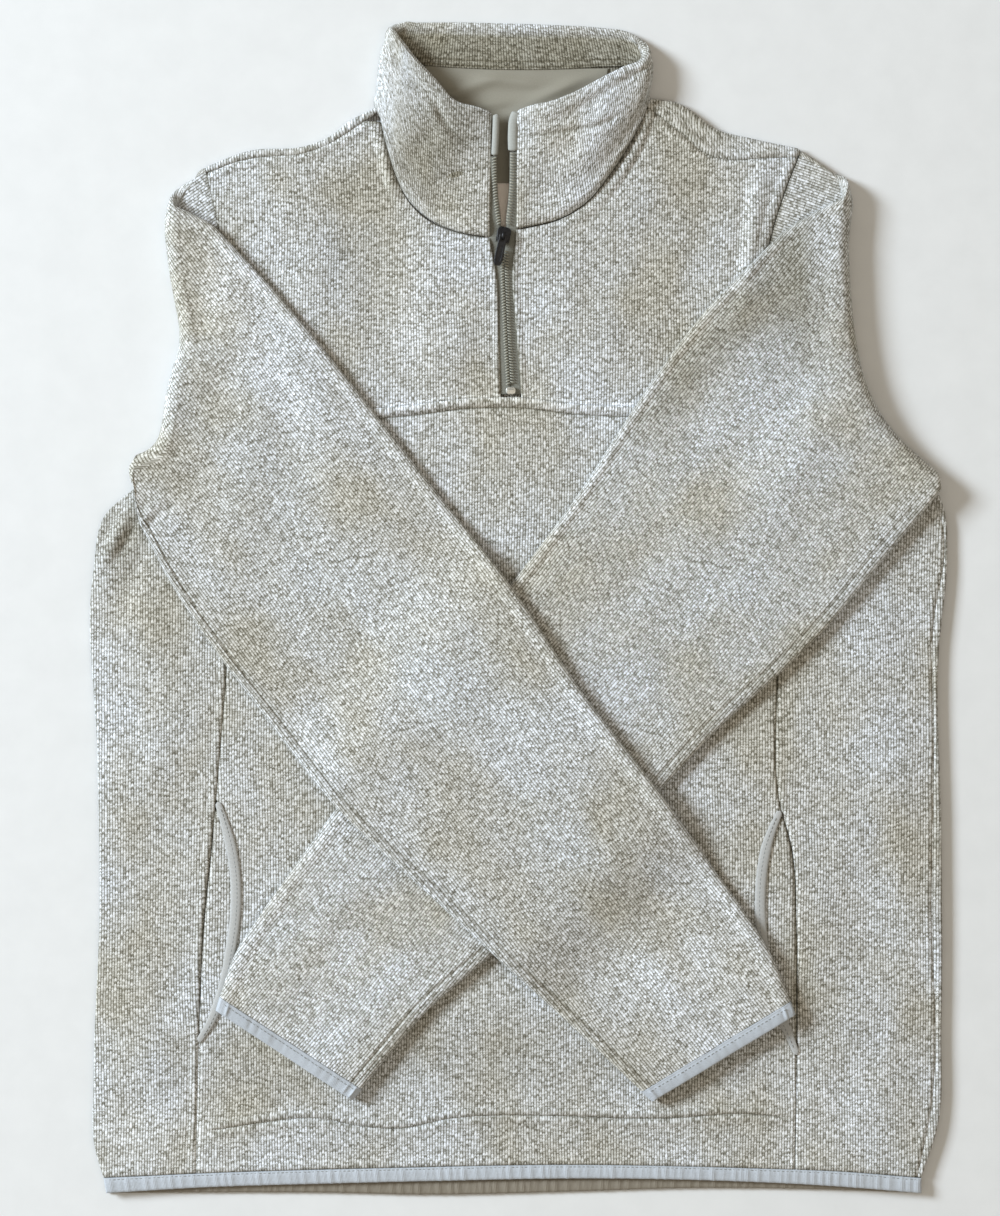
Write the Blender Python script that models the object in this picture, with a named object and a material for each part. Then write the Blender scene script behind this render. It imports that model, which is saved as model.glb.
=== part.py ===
"""A half-zip fleece pullover with a stand collar, laid flat front up, both sleeves folded across the front.

Tables are in millimetres and the scene is in metres. X runs across the garment from its centre line, Y runs
from the hem towards the collar, and Z rises from the surface that the garment lies on. The tables measure Y
up from the lowest point of the hem. Left and right are as seen from above.
"""

import math

import bmesh
import bpy
import numpy as np

# Driving sizes, in millimetres
MIDDLE = (-1.25, 398.9)  # of the box round the whole garment, in the tables' own x and y
WALL = 2.6  # knitted fleece cloth
SEAM_GAP = 0.3  # between pieces that are sewn together
EDGE_INSET = 0.2  # each sewn edge is drawn in by this: half the gap and a little for seams that slant
NECK_SEAM_GAP = 1.4  # between the middles of the collar and a yoke, which meet at an angle
LAYER_GAP = 0.5  # between layers that lie on each other
FRONT_LIFT = 1.6  # space between the back and the front
SLEEVE_SPACE = 1.6  # space between the two layers of a sleeve
FOLD_RADIUS = 5.2  # from a folded sleeve's middle to the axis that it folds about
CUFF_LIFT = 1.6  # how far a cuff stands off the front
CROSSING_SPACE = 1.9  # room for the lower sleeve's folds where the sleeves cross
BRIDGE_REACH = 30.0  # how far the upper sleeve takes to come down beside the lower one
BRIDGE_LEVEL = 11.0  # how far it first runs on level
SIDE_CURL = 0.7  # how far front and back bend towards each other at the side seam
CURL_REACH = (12.0, 8.0)  # how far in from the side seam that bend shows, on the front and on the back
BINDING_WIDTH = 9.0  # hem and cuff tape
BINDING_WALL = 3.0
POCKET_TAPE_WIDTH = 6.2
POCKET_TAPE_WALL = 1.2
POCKET_TAPE_GAP = 0.45  # above the cloth's edge
POCKET_SEAM_GAP = 0.5  # across the garment, at a seam that slants
FACING_WALL = 2.2  # inner layer of the collar
LINING_WALL = 1.0
LABEL_WALL = 0.6
TAPE_WALL = 1.0  # zip tape
COIL_WALL = 2.0  # zip teeth
GARAGE_WALL = 3.4

BACK_MID = WALL / 2
FRONT_MID = WALL + FRONT_LIFT + WALL / 2
SLEEVE_HALF = WALL + SLEEVE_SPACE / 2  # half the thickness of a flattened sleeve
EDGE_ROUND = SLEEVE_HALF - 0.1

# Columns of every outline table: x, y.
SIDE_LEFT = (
    (-284, 12), (-290, 33), (-290.7, 79), (-286.6, 198), (-288, 297), (-291, 424), (-283, 463), (-262, 482),
)
SIDE_RIGHT = (
    (273, 12), (284, 46), (286.6, 114), (286.6, 248), (284.6, 365), (290.7, 439), (289.5, 463), (284, 480),
)
HEM_FRONT = ((-284, 12), (-221, 15), (-83, 19), (32, 21), (162, 18.5), (217, 16.5), (273, 12))
HEM_FRONT_EDGE = (
    (-282, 1.5), (-215, 5.5), (-133, 8), (-50, 10), (32, 11.5), (119, 10.5), (210, 6.5), (273, 1.5),
)
HEM_BACK = ((-284, 12), (-133, 11), (32, 12), (119, 14), (273, 12))
HEM_BACK_EDGE = ((-282, 1), (-133, 1.4), (-67, 0), (32, 2), (119, 4.5), (210, 3.4), (273, 1))
ARMHOLE_LEFT = (
    (-262, 482), (-242, 488), (-225, 509), (-215, 534),
    (-203, 582), (-201.5, 630), (-208, 667), (-214.5, 696),
)
ARMHOLE_RIGHT = (
    (284, 480), (261, 488), (224, 509), (194, 536), (174, 582), (167.5, 635), (179, 681), (189.5, 708),
)
CHEST_LEFT = ((-110, 534.5), (-72, 538), (-36, 542.3), (-13.3, 543))
CHEST_RIGHT = ((0.5, 543), (37, 538.6), (81, 536.5))
PRINCESS_LEFT = ((-221, 15), (-219, 105), (-216.5, 178), (-208, 261), (-203, 321), (-199.6, 366), (-203, 460))
PRINCESS_RIGHT = ((186.7, 17.5), (188, 100), (188, 181), (184.6, 237), (176, 269), (174.4, 337), (182, 446))
POCKET_LEFT = (
    (-219, 105), (-212.5, 115), (-203, 138), (-197, 168),
    (-193.5, 198), (-195, 227), (-201, 253), (-206, 268),
)
POCKET_RIGHT = (
    (188, 96), (183.3, 108), (173, 130), (166.3, 160), (163.5, 185), (163.5, 212), (168.3, 241), (176.5, 262),
)
ZIP_LEFT = ((-13.3, 543), (-14.6, 596), (-16, 626), (-20.7, 651.4))
ZIP_RIGHT = ((0.5, 543), (-3.7, 596), (-5.8, 626), (-3.1, 656.9))
SHOULDER_LEFT = ((-214.5, 695), (-196, 702.5), (-180.5, 706), (-147, 709.5), (-124, 719.5), (-99, 736))
SHOULDER_RIGHT = (
    (189.5, 706.5), (162, 705.5), (144.5, 704.5), (127, 708), (110.5, 722), (93, 735), (84.5, 741),
)
OUTLINE_LEFT = ((-216, 699.5), (-186, 711), (-144.5, 715), (-129, 721.5), (-116, 731.7), (-101, 739.5))
OUTLINE_RIGHT = ((191, 712.5), (156, 720), (131, 727), (118, 737), (109, 743), (91, 746.6))
NECK_BACK = ((-96, 743.4), (-82, 744), (-48, 740), (-7, 738), (34, 740), (64, 744.6), (76, 745.6))

# Each sleeve: the outside of its fold from shoulder to underarm, then its edges from the fold to the cuff.
FOLD_LEFT = (
    (-233, 690), (-241.5, 676), (-241.5, 650), (-237, 616), (-231.5, 578),
    (-239, 557), (-243, 532), (-247, 510), (-263, 498), (-265, 484),
)
FOLD_RIGHT = (
    (221, 698), (227.5, 687), (223.5, 660), (224, 626), (228, 582),
    (235, 552), (247, 528), (268, 505), (288, 489),
)
SLEEVE_LEFT_UPPER = (
    (-213, 654.8), (-176, 616), (-129, 560), (-69, 483.5), (-8, 406),
    (38, 337), (86, 275), (128, 216), (166, 158), (177, 130.5),
)
SLEEVE_LEFT_LOWER = (
    (-255, 464), (-240, 433), (-217, 395), (-174, 337), (-117, 266),
    (-60, 213), (15, 143), (49, 111.5), (87, 76),
)
SLEEVE_RIGHT_UPPER = (
    (185, 653), (129.5, 598), (81, 532), (45, 476), (-7, 406), (-61.5, 337),
    (-117, 264), (-145, 225), (-173, 185.6), (-189, 160), (-198, 133.5),
)
SLEEVE_RIGHT_LOWER = (
    (270, 471), (239, 434), (205, 393), (177, 365), (130, 323),
    (86, 276), (34, 224), (-19, 173), (-67, 132), (-113, 77.5),
)

# Collar sections from the left zip edge round the back to the right one. Columns: the neck seam's x, y and
# level (1 on the front, 0 on the back), then the top edge's x, y and the height of its middle.
COLLAR = (
    (-20.7, 652.1, 1.0, -19.6, 735.8, 15.5),
    (-31.6, 653.5, 1.0, -28.9, 740.5, 18.0),
    (-46.6, 656.9, 1.0, -41.0, 745.5, 20.0),
    (-62.9, 664.4, 1.0, -54.7, 760.2, 20.5),
    (-77.9, 680.0, 1.0, -68.3, 773.8, 19.0),
    (-88.1, 711.3, 1.0, -77.9, 784.7, 16.5),
    (-92.8, 729.5, 1.0, -83.6, 790.6, 14.0),
    (-97.0, 737.5, 0.82, -86.8, 794.0, 10.4),
    (-98.6, 741.8, 0.42, -87.0, 796.2, 6.2),
    (-95.0, 744.2, 0.1, -83.4, 797.4, 2.9),
    (-81.9, 745.0, 0.0, -73.8, 797.4, 1.5),
    (-47.9, 741.2, 0.0, -44.5, 797.4, 1.3),
    (-7.1, 739.2, 0.0, -10.5, 796.6, 1.3),
    (33.7, 741.2, 0.0, 26.9, 795.4, 1.3),
    (64.3, 746.0, 0.0, 56.1, 793.6, 1.5),
    (78.5, 747.6, 0.1, 74.5, 790.6, 2.9),
    (83.6, 746.8, 0.42, 82.4, 785.4, 6.2),
    (84.4, 743.0, 0.82, 85.2, 779.3, 10.4),
    (81.6, 737.2, 1.0, 82.0, 773.2, 14.0),
    (75.1, 719.4, 1.0, 69.0, 767.7, 16.5),
    (61.5, 696.3, 1.0, 52.7, 759.6, 19.0),
    (43.9, 675.2, 1.0, 35.0, 750.0, 20.5),
    (24.1, 663.7, 1.0, 18.7, 742.6, 20.0),
    (7.8, 659.6, 1.0, 7.8, 739.2, 18.0),
    (-3.1, 657.6, 1.0, -2.4, 735.8, 15.5),
)
COLLAR_BULGE = 2.4  # how far the front of the collar rounds out half way up
COLLAR_RISE = (0.0, 0.12, 0.3, 0.5, 0.7, 0.86, 0.96, 1.0)  # share of the collar's height of each row
FACING_RISE = (0.5, 0.64, 0.8, 0.92, 0.985)
FACING_GAP = 0.4  # between the collar's cloth and its inner layer
COLLAR_LEFT_FRONT = 7  # sections on the left front, and as many on the right one

# The neck opening raises the front round it.
NECK_RISE = 3.4
NECK_CENTRE = (-10, 695)
NECK_REACH = 88.0

# The largest folds of the front. Columns: x, y, heading in degrees from X, half length, half width, rise.
FRONT_FOLDS = (
    (150, 640, 78, 60, 13, 1.5),
    (118, 655, 74, 55, 12, -0.7),
    (-150, 640, 100, 70, 22, 1.1),
    (60, 610, 60, 60, 20, 0.8),
    (-90, 600, 115, 60, 24, -0.6),
    (-250, 380, 88, 90, 16, 1.1),
    (-245, 230, 92, 70, 15, -0.6),
    (245, 330, 96, 90, 18, 1.0),
    (-20, 120, 4, 130, 20, 0.9),
    (-60, 52, 2, 150, 11, 1.3),
    (110, 54, 3, 80, 10, 1.1),
    (230, 160, 84, 90, 20, -0.6),
    (-255, 110, 95, 60, 18, 0.9),
    (240, 60, 60, 40, 20, 0.9),
)
# The largest folds of the sleeves, with the same columns.
SLEEVE_FOLDS = (
    (-190, 480, 80, 70, 16, 1.7),
    (-160, 520, 100, 60, 14, -0.9),
    (-215, 560, 60, 40, 14, 1.4),
    (-60, 330, 40, 70, 18, 1.3),
    (-30, 250, -50, 70, 22, 1.5),
    (40, 200, -40, 60, 16, -0.8),
    (90, 150, -60, 40, 16, 1.3),
    (180, 480, 60, 70, 18, 1.7),
    (215, 560, 100, 60, 16, 1.3),
    (140, 420, 45, 60, 14, -0.9),
    (110, 470, 130, 50, 16, 1.3),
    (-150, 160, 40, 50, 16, 1.2),
    (-80, 190, 50, 50, 14, -0.7),
)

# Where the left cuff rises over the pocket tape, with the same columns.
OVER_POCKET = ((167, 150, 100, 62, 26, 2.3),)

# Zip, all in millimetres
ZIP_FOOT = 545.2  # height of the tapes' lower end
ZIP_HEAD = {"left": 706, "right": 709}  # height of each tape's upper end, at its garage
ZIP_SPLIT = (650, 664)  # between these heights the teeth part under the slider
SPINE = ((-6.4, 543.8), (-6.9, 552.5), (-8.8, 585), (-10.4, 620), (-11.4, 650))  # where the closed tapes meet
COLLAR_EDGE = {"left": (-20.2, 733.0), "right": (-2.2, 733.0)}  # top of the cloth beside each tape
TAPE_OUTSET = 0.55  # from a tape's edge to the line of the cloth's edge
TAPE_MEET = 0.35  # from a closed tape's inner edge to the spine
TAPE_DROP = 0.4  # the tape's middle under the cloth's
TEETH_LIFT = 0.1  # the teeth over the tape, besides the seam gap
SLIDER_AT = (-11.6, 652.5)
SLIDER_LENGTH = 12.0
SLIDER_WIDE = 11.0
SLIDER_NARROW = 8.2
SLIDER_THICK = 2.2
SLIDER_BEVEL = 0.6
ARCH_WIDTH = 2.0
ARCH_LENGTH = 5.8
ARCH_POST = 0.9
ARCH_HEIGHT = 3.25
ARCH_BAR = 0.8
TAB_LENGTH = 21.0
TAB_WIDTH = 6.6
TAB_NECK = 5.4
TAB_THICK = 1.4
TAB_BEVEL = 0.45
TAB_EYE_WIDTH = 3.2
TAB_EYE_LENGTH = 3.6
TAB_AXIS_RISE = 1.3  # above the slider's top
SLIDER_RISE = 0.5  # the slider's top plate over the teeth, besides the seam gap
TAB_SWING = math.radians(-12)  # how far the tab points left of straight down the zip
TAB_DIP = math.radians(4.5)  # how far its free end dips to the teeth
CHAIN = ((-11.2, 643.0), (-10.4, 620.0), (-8.8, 585.0), (-6.9, 552.5))
CHAIN_WIDTH = 5.8
TEETH_LEFT = ((-17.9, 705.5), (-17.2, 681), (-14.6, 660))
TEETH_RIGHT = ((-5.4, 708.5), (-5.9, 684), (-8.4, 660))
TEETH_WIDTH = 3.4
GARAGE_LEFT = ((-16.4, 734.5), (-16.9, 721), (-17.6, 706.4))
GARAGE_RIGHT = ((-5.9, 734.5), (-5.6, 722), (-5.6, 709.4))
GARAGE_WIDTH = 4.4
GARAGE_LIFT = 0.2
STOP_AT = (-6.6, 547.6)
STOP_SIZE = (7.0, 5.4, 2.4)
LABEL_BOX = ((-24, 643), (0, 689))
LINING_TOP = ((-72, 769.5), (-8, 767.5), (60, 767.5))
LINING_FOOT = ((-58, 648), (-8, 632), (44, 648))
LINING_GAP = 0.4  # under the lining, and under the label

PART_NAME = "half_zip_pullover"


def scene_point(x, y, z):
    """A point in metres, with the origin under the middle of the garment."""
    columns = (np.asarray(x) - MIDDLE[0], np.asarray(y) - MIDDLE[1], np.asarray(z))
    return np.stack(columns, axis=-1) * 0.001


# Curves and sheets


class Path:
    """A smooth curve through the rows of a table, read by the share of its length."""

    def __init__(self, rows, per_row=12):
        knots = np.array(rows, float)
        steps = np.linalg.norm(np.diff(knots, axis=0), axis=1)
        slopes = np.diff(knots, axis=0) / steps[:, None]
        inner = slopes[:-1] * steps[1:, None] + slopes[1:] * steps[:-1, None]
        inner /= (steps[1:] + steps[:-1])[:, None]
        tangents = np.concatenate([slopes[:1], inner, slopes[-1:]])
        t = np.linspace(0, 1, per_row, endpoint=False)[:, None]
        pieces = []
        for start, end, first, last, step in zip(knots[:-1], knots[1:], tangents[:-1], tangents[1:], steps):
            pieces.append(
                (2 * t**3 - 3 * t**2 + 1) * start
                + (t**3 - 2 * t**2 + t) * step * first
                + (3 * t**2 - 2 * t**3) * end
                + (t**3 - t**2) * step * last
            )
        self.points = np.concatenate(pieces + [knots[-1:]])
        lengths = np.linalg.norm(np.diff(self.points, axis=0), axis=1)
        self.length = lengths.sum()
        self.shares = np.concatenate([[0], np.cumsum(lengths)]) / self.length

    def at(self, share):
        return np.stack([np.interp(share, self.shares, column) for column in self.points.T], axis=-1)

    def offset(self, distance):
        """The same curve moved to its left by a distance."""
        ahead = np.gradient(self.points, axis=0)
        ahead /= np.linalg.norm(ahead, axis=1)[:, None]
        moved = self.points + distance * np.stack([-ahead[:, 1], ahead[:, 0]], axis=-1)
        return Path(moved[::6], 6)


def shares_of(points):
    """Each point's share of the length of the line through them."""
    lengths = np.linalg.norm(np.diff(points, axis=0), axis=1)
    return np.concatenate([[0], np.cumsum(lengths)]) / lengths.sum()


def coons(bottom, top, left, right, u, v):
    """The sheet between four rows of points. Bottom and top run left to right, left and right run upwards."""
    s = u[None, :, None]
    t = v[:, None, None]
    across = (1 - t) * bottom[None] + t * top[None]
    along = (1 - s) * left[:, None] + s * right[:, None]
    corners = (1 - t) * ((1 - s) * bottom[0] + s * bottom[-1]) + t * ((1 - s) * top[0] + s * top[-1])
    return across + along - corners


def unit(vectors):
    return vectors / np.maximum(np.linalg.norm(vectors, axis=-1, keepdims=True), 1e-9)


def inset(points, gap=EDGE_INSET):
    """A sheet with its edges drawn in, which leaves a gap at its seams."""
    moved = points.copy()
    moved[0] += gap * unit(points[1] - points[0])
    moved[-1] += gap * unit(points[-2] - points[-1])
    moved[:, 0] += gap * unit(points[:, 1] - points[:, 0])
    moved[:, -1] += gap * unit(points[:, -2] - points[:, -1])
    return moved


def normals_of(points):
    """The upward or outward direction at each point of a sheet."""
    return unit(np.cross(np.gradient(points, axis=1), np.gradient(points, axis=0)))


# Heights


def folds(table, x, y):
    """The sum of soft ridges and troughs at a place."""
    total = np.zeros_like(x, dtype=float)
    for fold_x, fold_y, heading, half_length, half_width, rise in table:
        turn = math.radians(heading)
        along = (x - fold_x) * math.cos(turn) + (y - fold_y) * math.sin(turn)
        across = (y - fold_y) * math.cos(turn) - (x - fold_x) * math.sin(turn)
        total += rise * np.exp(-((along / half_length) ** 2) - (across / half_width) ** 2)
    return total


def front_mid(x, y):
    """The height of the middle of the front's cloth."""
    from_neck = np.hypot(x - NECK_CENTRE[0], y - NECK_CENTRE[1])
    return FRONT_MID + folds(FRONT_FOLDS, x, y) + NECK_RISE * np.exp(-((from_neck / NECK_REACH) ** 2))


def front_top(x, y):
    return front_mid(x, y) + WALL / 2


def outside_distance(outline, x, y):
    """How far a place is outside a closed outline: 0 on it and inside."""
    nearest = np.full(np.shape(x), np.inf)
    inside = np.zeros(np.shape(x), bool)
    for start, end in zip(outline, np.roll(outline, -1, axis=0)):
        edge = end - start
        share = np.clip(((x - start[0]) * edge[0] + (y - start[1]) * edge[1]) / (edge @ edge), 0, 1)
        away = np.hypot(x - start[0] - share * edge[0], y - start[1] - share * edge[1])
        nearest = np.minimum(nearest, away)
        crosses = (start[1] > y) != (end[1] > y)
        height = edge[1] if abs(edge[1]) > 1e-9 else 1e-9
        inside ^= crosses & (x < start[0] + (y - start[1]) * edge[0] / height)
    return np.where(inside, 0, nearest)


def under_left_sleeve(x, y):
    """What the left sleeve lies on: the front, and the right sleeve where they cross."""
    upper = Path(SLEEVE_RIGHT_UPPER).at(np.linspace(0, 1, 12))
    lower = Path(SLEEVE_RIGHT_LOWER).at(np.linspace(1, 0, 12))
    away = outside_distance(np.concatenate([upper, lower]), x, y)
    near = np.clip(1 - (away - BRIDGE_LEVEL) / BRIDGE_REACH, 0, 1)
    sleeve = 2 * SLEEVE_HALF + LAYER_GAP + CROSSING_SPACE
    return front_top(x, y) + sleeve * near**2 * (3 - 2 * near) + folds(OVER_POCKET, x, y)


# Solids


def material(name, colour, roughness, metallic=0.0):
    made = bpy.data.materials.new(name)
    made.use_nodes = True
    shader = made.node_tree.nodes["Principled BSDF"]
    shader.inputs["Base Color"].default_value = (*colour, 1.0)
    shader.inputs["Roughness"].default_value = roughness
    shader.inputs["Metallic"].default_value = metallic
    return made


def solid(name, outer, inner, look, ring=False):
    """A closed wall between two sheets of points. The sheets of a ring meet themselves along each row."""
    rows, columns = outer.shape[:2]
    points = np.concatenate([outer.reshape(-1, 3), inner.reshape(-1, 3)])
    behind = rows * columns
    last = columns if ring else columns - 1
    faces = []
    for i in range(rows - 1):
        for j in range(last):
            k = (j + 1) % columns
            quad = [i * columns + j, i * columns + k, (i + 1) * columns + k, (i + 1) * columns + j]
            faces.append(quad)
            faces.append([behind + corner for corner in reversed(quad)])
    rim = [[(0, j), (0, (j + 1) % columns)] for j in range(last)]
    rim += [[(rows - 1, (j + 1) % columns), (rows - 1, j)] for j in range(last)]
    if not ring:
        rim += [[(i + 1, 0), (i, 0)] for i in range(rows - 1)]
        rim += [[(i, columns - 1), (i + 1, columns - 1)] for i in range(rows - 1)]
    for (a, b), (c, d) in rim:
        first = a * columns + b
        second = c * columns + d
        faces.append([second, first, behind + first, behind + second])
    mesh = bpy.data.meshes.new(name)
    mesh.from_pydata(scene_point(*points.T).tolist(), [], faces)
    closed = bmesh.new()
    closed.from_mesh(mesh)
    bmesh.ops.recalc_face_normals(closed, faces=closed.faces)
    closed.to_mesh(mesh)
    closed.free()
    mesh.shade_smooth()
    mesh.set_sharp_from_angle(angle=math.radians(45))
    return add(name, mesh, look)


def add(name, mesh, look):
    made = bpy.data.objects.new(name, mesh)
    made.data.materials.append(look)
    bpy.data.collections[PART_NAME].objects.link(made)
    return made


def wall(name, middle, look, thickness=WALL, gap=EDGE_INSET):
    """Cloth of even thickness on both sides of a sheet of points."""
    sheet = inset(middle, gap)
    out = normals_of(sheet) * thickness / 2
    return solid(name, sheet + out, sheet - out, look)


def strip(name, centre, width, middle, look, thickness, lift=0.0, steps=10):
    """A flat tape along a curve, on the height that a function gives."""
    share = np.linspace(0, 1, steps)
    line = Path(centre.points[::4])
    flat = np.stack([line.offset(side * width / 2).at(share) for side in (1.0, 0.0, -1.0)])
    height = middle(flat[..., 0], flat[..., 1]) + lift
    sheet = np.concatenate([flat, height[..., None]], axis=-1)
    up = np.array([0, 0, thickness / 2])
    return solid(name, sheet + up, sheet - up, look)


# Front and back


JUNCTION_LEFT = 0.31  # share of the armhole, from the underarm, where the chest seam meets it
JUNCTION_RIGHT = 0.36
BELOW_JUNCTION = 4  # steps of an armhole from the underarm to the chest seam
ABOVE_JUNCTION = 7  # steps from there to the shoulder
# Shares of the way up a side seam or a princess seam, closer together beside the pockets.
BODY_ROWS = np.array(
    [0, 0.03, 0.1, 0.16, 0.19, 0.225, 0.265, 0.31, 0.355, 0.4, 0.44, 0.475, 0.51, 0.6, 0.7, 0.8, 0.91, 1.0]
)
BACK_ROWS = np.array([0, 0.03, 0.2, 0.4, 0.6, 0.8, 0.93, 1.0])


def armhole(rows, junction):
    """Points of an armhole from the underarm to the shoulder, one of them where the chest seam meets it."""
    below = np.linspace(0, junction, BELOW_JUNCTION + 1)
    above = np.linspace(junction, 1, ABOVE_JUNCTION + 1)
    return Path(rows).at(np.concatenate([below, above[1:]]))


def hem_at(rows, start, end, count):
    """Points of a hem curve between two places across the garment."""
    hem = Path(rows)
    share = np.interp(np.linspace(start, end, count), hem.points[:, 0], hem.shares)
    return hem.at(share)


def princess(rows, junction):
    """A seam from the hem to the armhole."""
    return Path(rows + (tuple(junction),)).at(BODY_ROWS)


def pocket_edge(seam, pocket):
    """The edge of the centre front: the seam, and between its ends the pocket's curve."""
    curve = Path(pocket).points
    moved = seam.copy()
    inside = (seam[:, 1] > pocket[0][1]) & (seam[:, 1] < pocket[-1][1])
    moved[inside, 0] = np.interp(seam[inside, 1], curve[:, 1], curve[:, 0])
    return moved, inside


def make_side_front(name, side, seam, hem, arm, look):
    """From the side seam to the princess seam. Its outer edge bends down to the side seam."""
    top = arm[: BELOW_JUNCTION + 1]
    bottom = hem_at(hem, side[0, 0], seam[0, 0], len(top))
    share = np.linspace(0, 1, len(top))
    flat = coons(bottom, top, side, seam, share, BODY_ROWS)
    from_side = np.linalg.norm(flat - flat[:, :1], axis=-1)
    curl = SIDE_CURL * np.exp(-((from_side / CURL_REACH[0]) ** 2))
    height = front_mid(flat[..., 0], flat[..., 1]) - curl
    return wall(name, np.concatenate([flat, height[..., None]], axis=-1), look)


def make_body(look):
    """The back, the two yokes, the centre front and the two side fronts."""
    arm_left = armhole(ARMHOLE_LEFT, JUNCTION_LEFT)
    arm_right = armhole(ARMHOLE_RIGHT, JUNCTION_RIGHT)
    side_left = Path(SIDE_LEFT).at(BODY_ROWS)
    side_right = Path(SIDE_RIGHT).at(BODY_ROWS)
    seam_left = princess(PRINCESS_LEFT, arm_left[BELOW_JUNCTION])
    seam_right = princess(PRINCESS_RIGHT, arm_right[BELOW_JUNCTION])
    make_side_front("side_front_left", side_left, seam_left, HEM_FRONT, arm_left, look)
    make_side_front("side_front_right", side_right, seam_right, HEM_FRONT, arm_right, look)

    junction_left = arm_left[BELOW_JUNCTION]
    junction_right = arm_right[BELOW_JUNCTION]
    chest_share = np.linspace(0, 1, 9)
    chest_left = Path((tuple(junction_left),) + CHEST_LEFT).at(chest_share)
    chest_right = Path(CHEST_RIGHT + (tuple(junction_right),)).at(chest_share)
    make_centre_front(chest_left, chest_right, junction_left, junction_right, look)
    neck = np.array(COLLAR)[:, :2]
    neck_left = neck[COLLAR_LEFT_FRONT - 1 :: -1]
    neck_right = neck[-COLLAR_LEFT_FRONT:]
    make_yoke("yoke_left", chest_left, SHOULDER_LEFT, neck_left, arm_left, Path(ZIP_LEFT), look)
    make_yoke("yoke_right", chest_right[::-1], SHOULDER_RIGHT, neck_right, arm_right, Path(ZIP_RIGHT), look)
    make_back(Path(SIDE_LEFT).at(BACK_ROWS), Path(SIDE_RIGHT).at(BACK_ROWS), arm_left, arm_right, look)


def make_centre_front(chest_left, chest_right, junction_left, junction_right, look):
    left, _ = pocket_edge(princess(PRINCESS_LEFT, junction_left), POCKET_LEFT)
    right, _ = pocket_edge(princess(PRINCESS_RIGHT, junction_right), POCKET_RIGHT)
    top = np.concatenate([chest_left, chest_right])
    share = shares_of(top)
    hem = Path(HEM_FRONT)
    across = left[0, 0] + share * (right[0, 0] - left[0, 0])
    bottom = hem.at(np.interp(across, hem.points[:, 0], hem.shares))
    flat = coons(bottom, top, left, right, share, BODY_ROWS)
    height = front_mid(flat[..., 0], flat[..., 1])
    wall("centre_front", np.concatenate([flat, height[..., None]], axis=-1), look)


def make_yoke(name, chest, shoulder, neck, arm, zip_edge, look):
    """From the armhole to the zip. The chest seam, shoulder and neck all run from the armhole side."""
    shoulder_points = Path(shoulder).at(np.linspace(0, 1, 7))[:-1]
    out_of_neck = neck - np.array(NECK_CENTRE)
    eased = neck + NECK_SEAM_GAP * unit(out_of_neck)
    top = np.concatenate([shoulder_points, eased[:-1], zip_edge.at(1.0)[None]])
    share = shares_of(top)
    rows = np.linspace(0, 1, ABOVE_JUNCTION + 1)
    outer = np.concatenate([arm[BELOW_JUNCTION:-1], top[:1]])
    flat = coons(Path(chest).at(share), top, outer, zip_edge.at(rows), share, rows)
    height = front_mid(flat[..., 0], flat[..., 1])
    wall(name, np.concatenate([flat, height[..., None]], axis=-1), look)


WRAP_STEPS = 7
WRAP_TAIL = 12.0  # length of flat cloth that shares the wrap's rows at the neck
WRAP_LEAST_TAIL = 0.4
WRAP_MARGIN = 0.8  # flat cloth kept between the wrap's round and the shoulder seam
WRAP_LEAST_BEND = 0.7
SHOULDER_POINTS = 7


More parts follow.
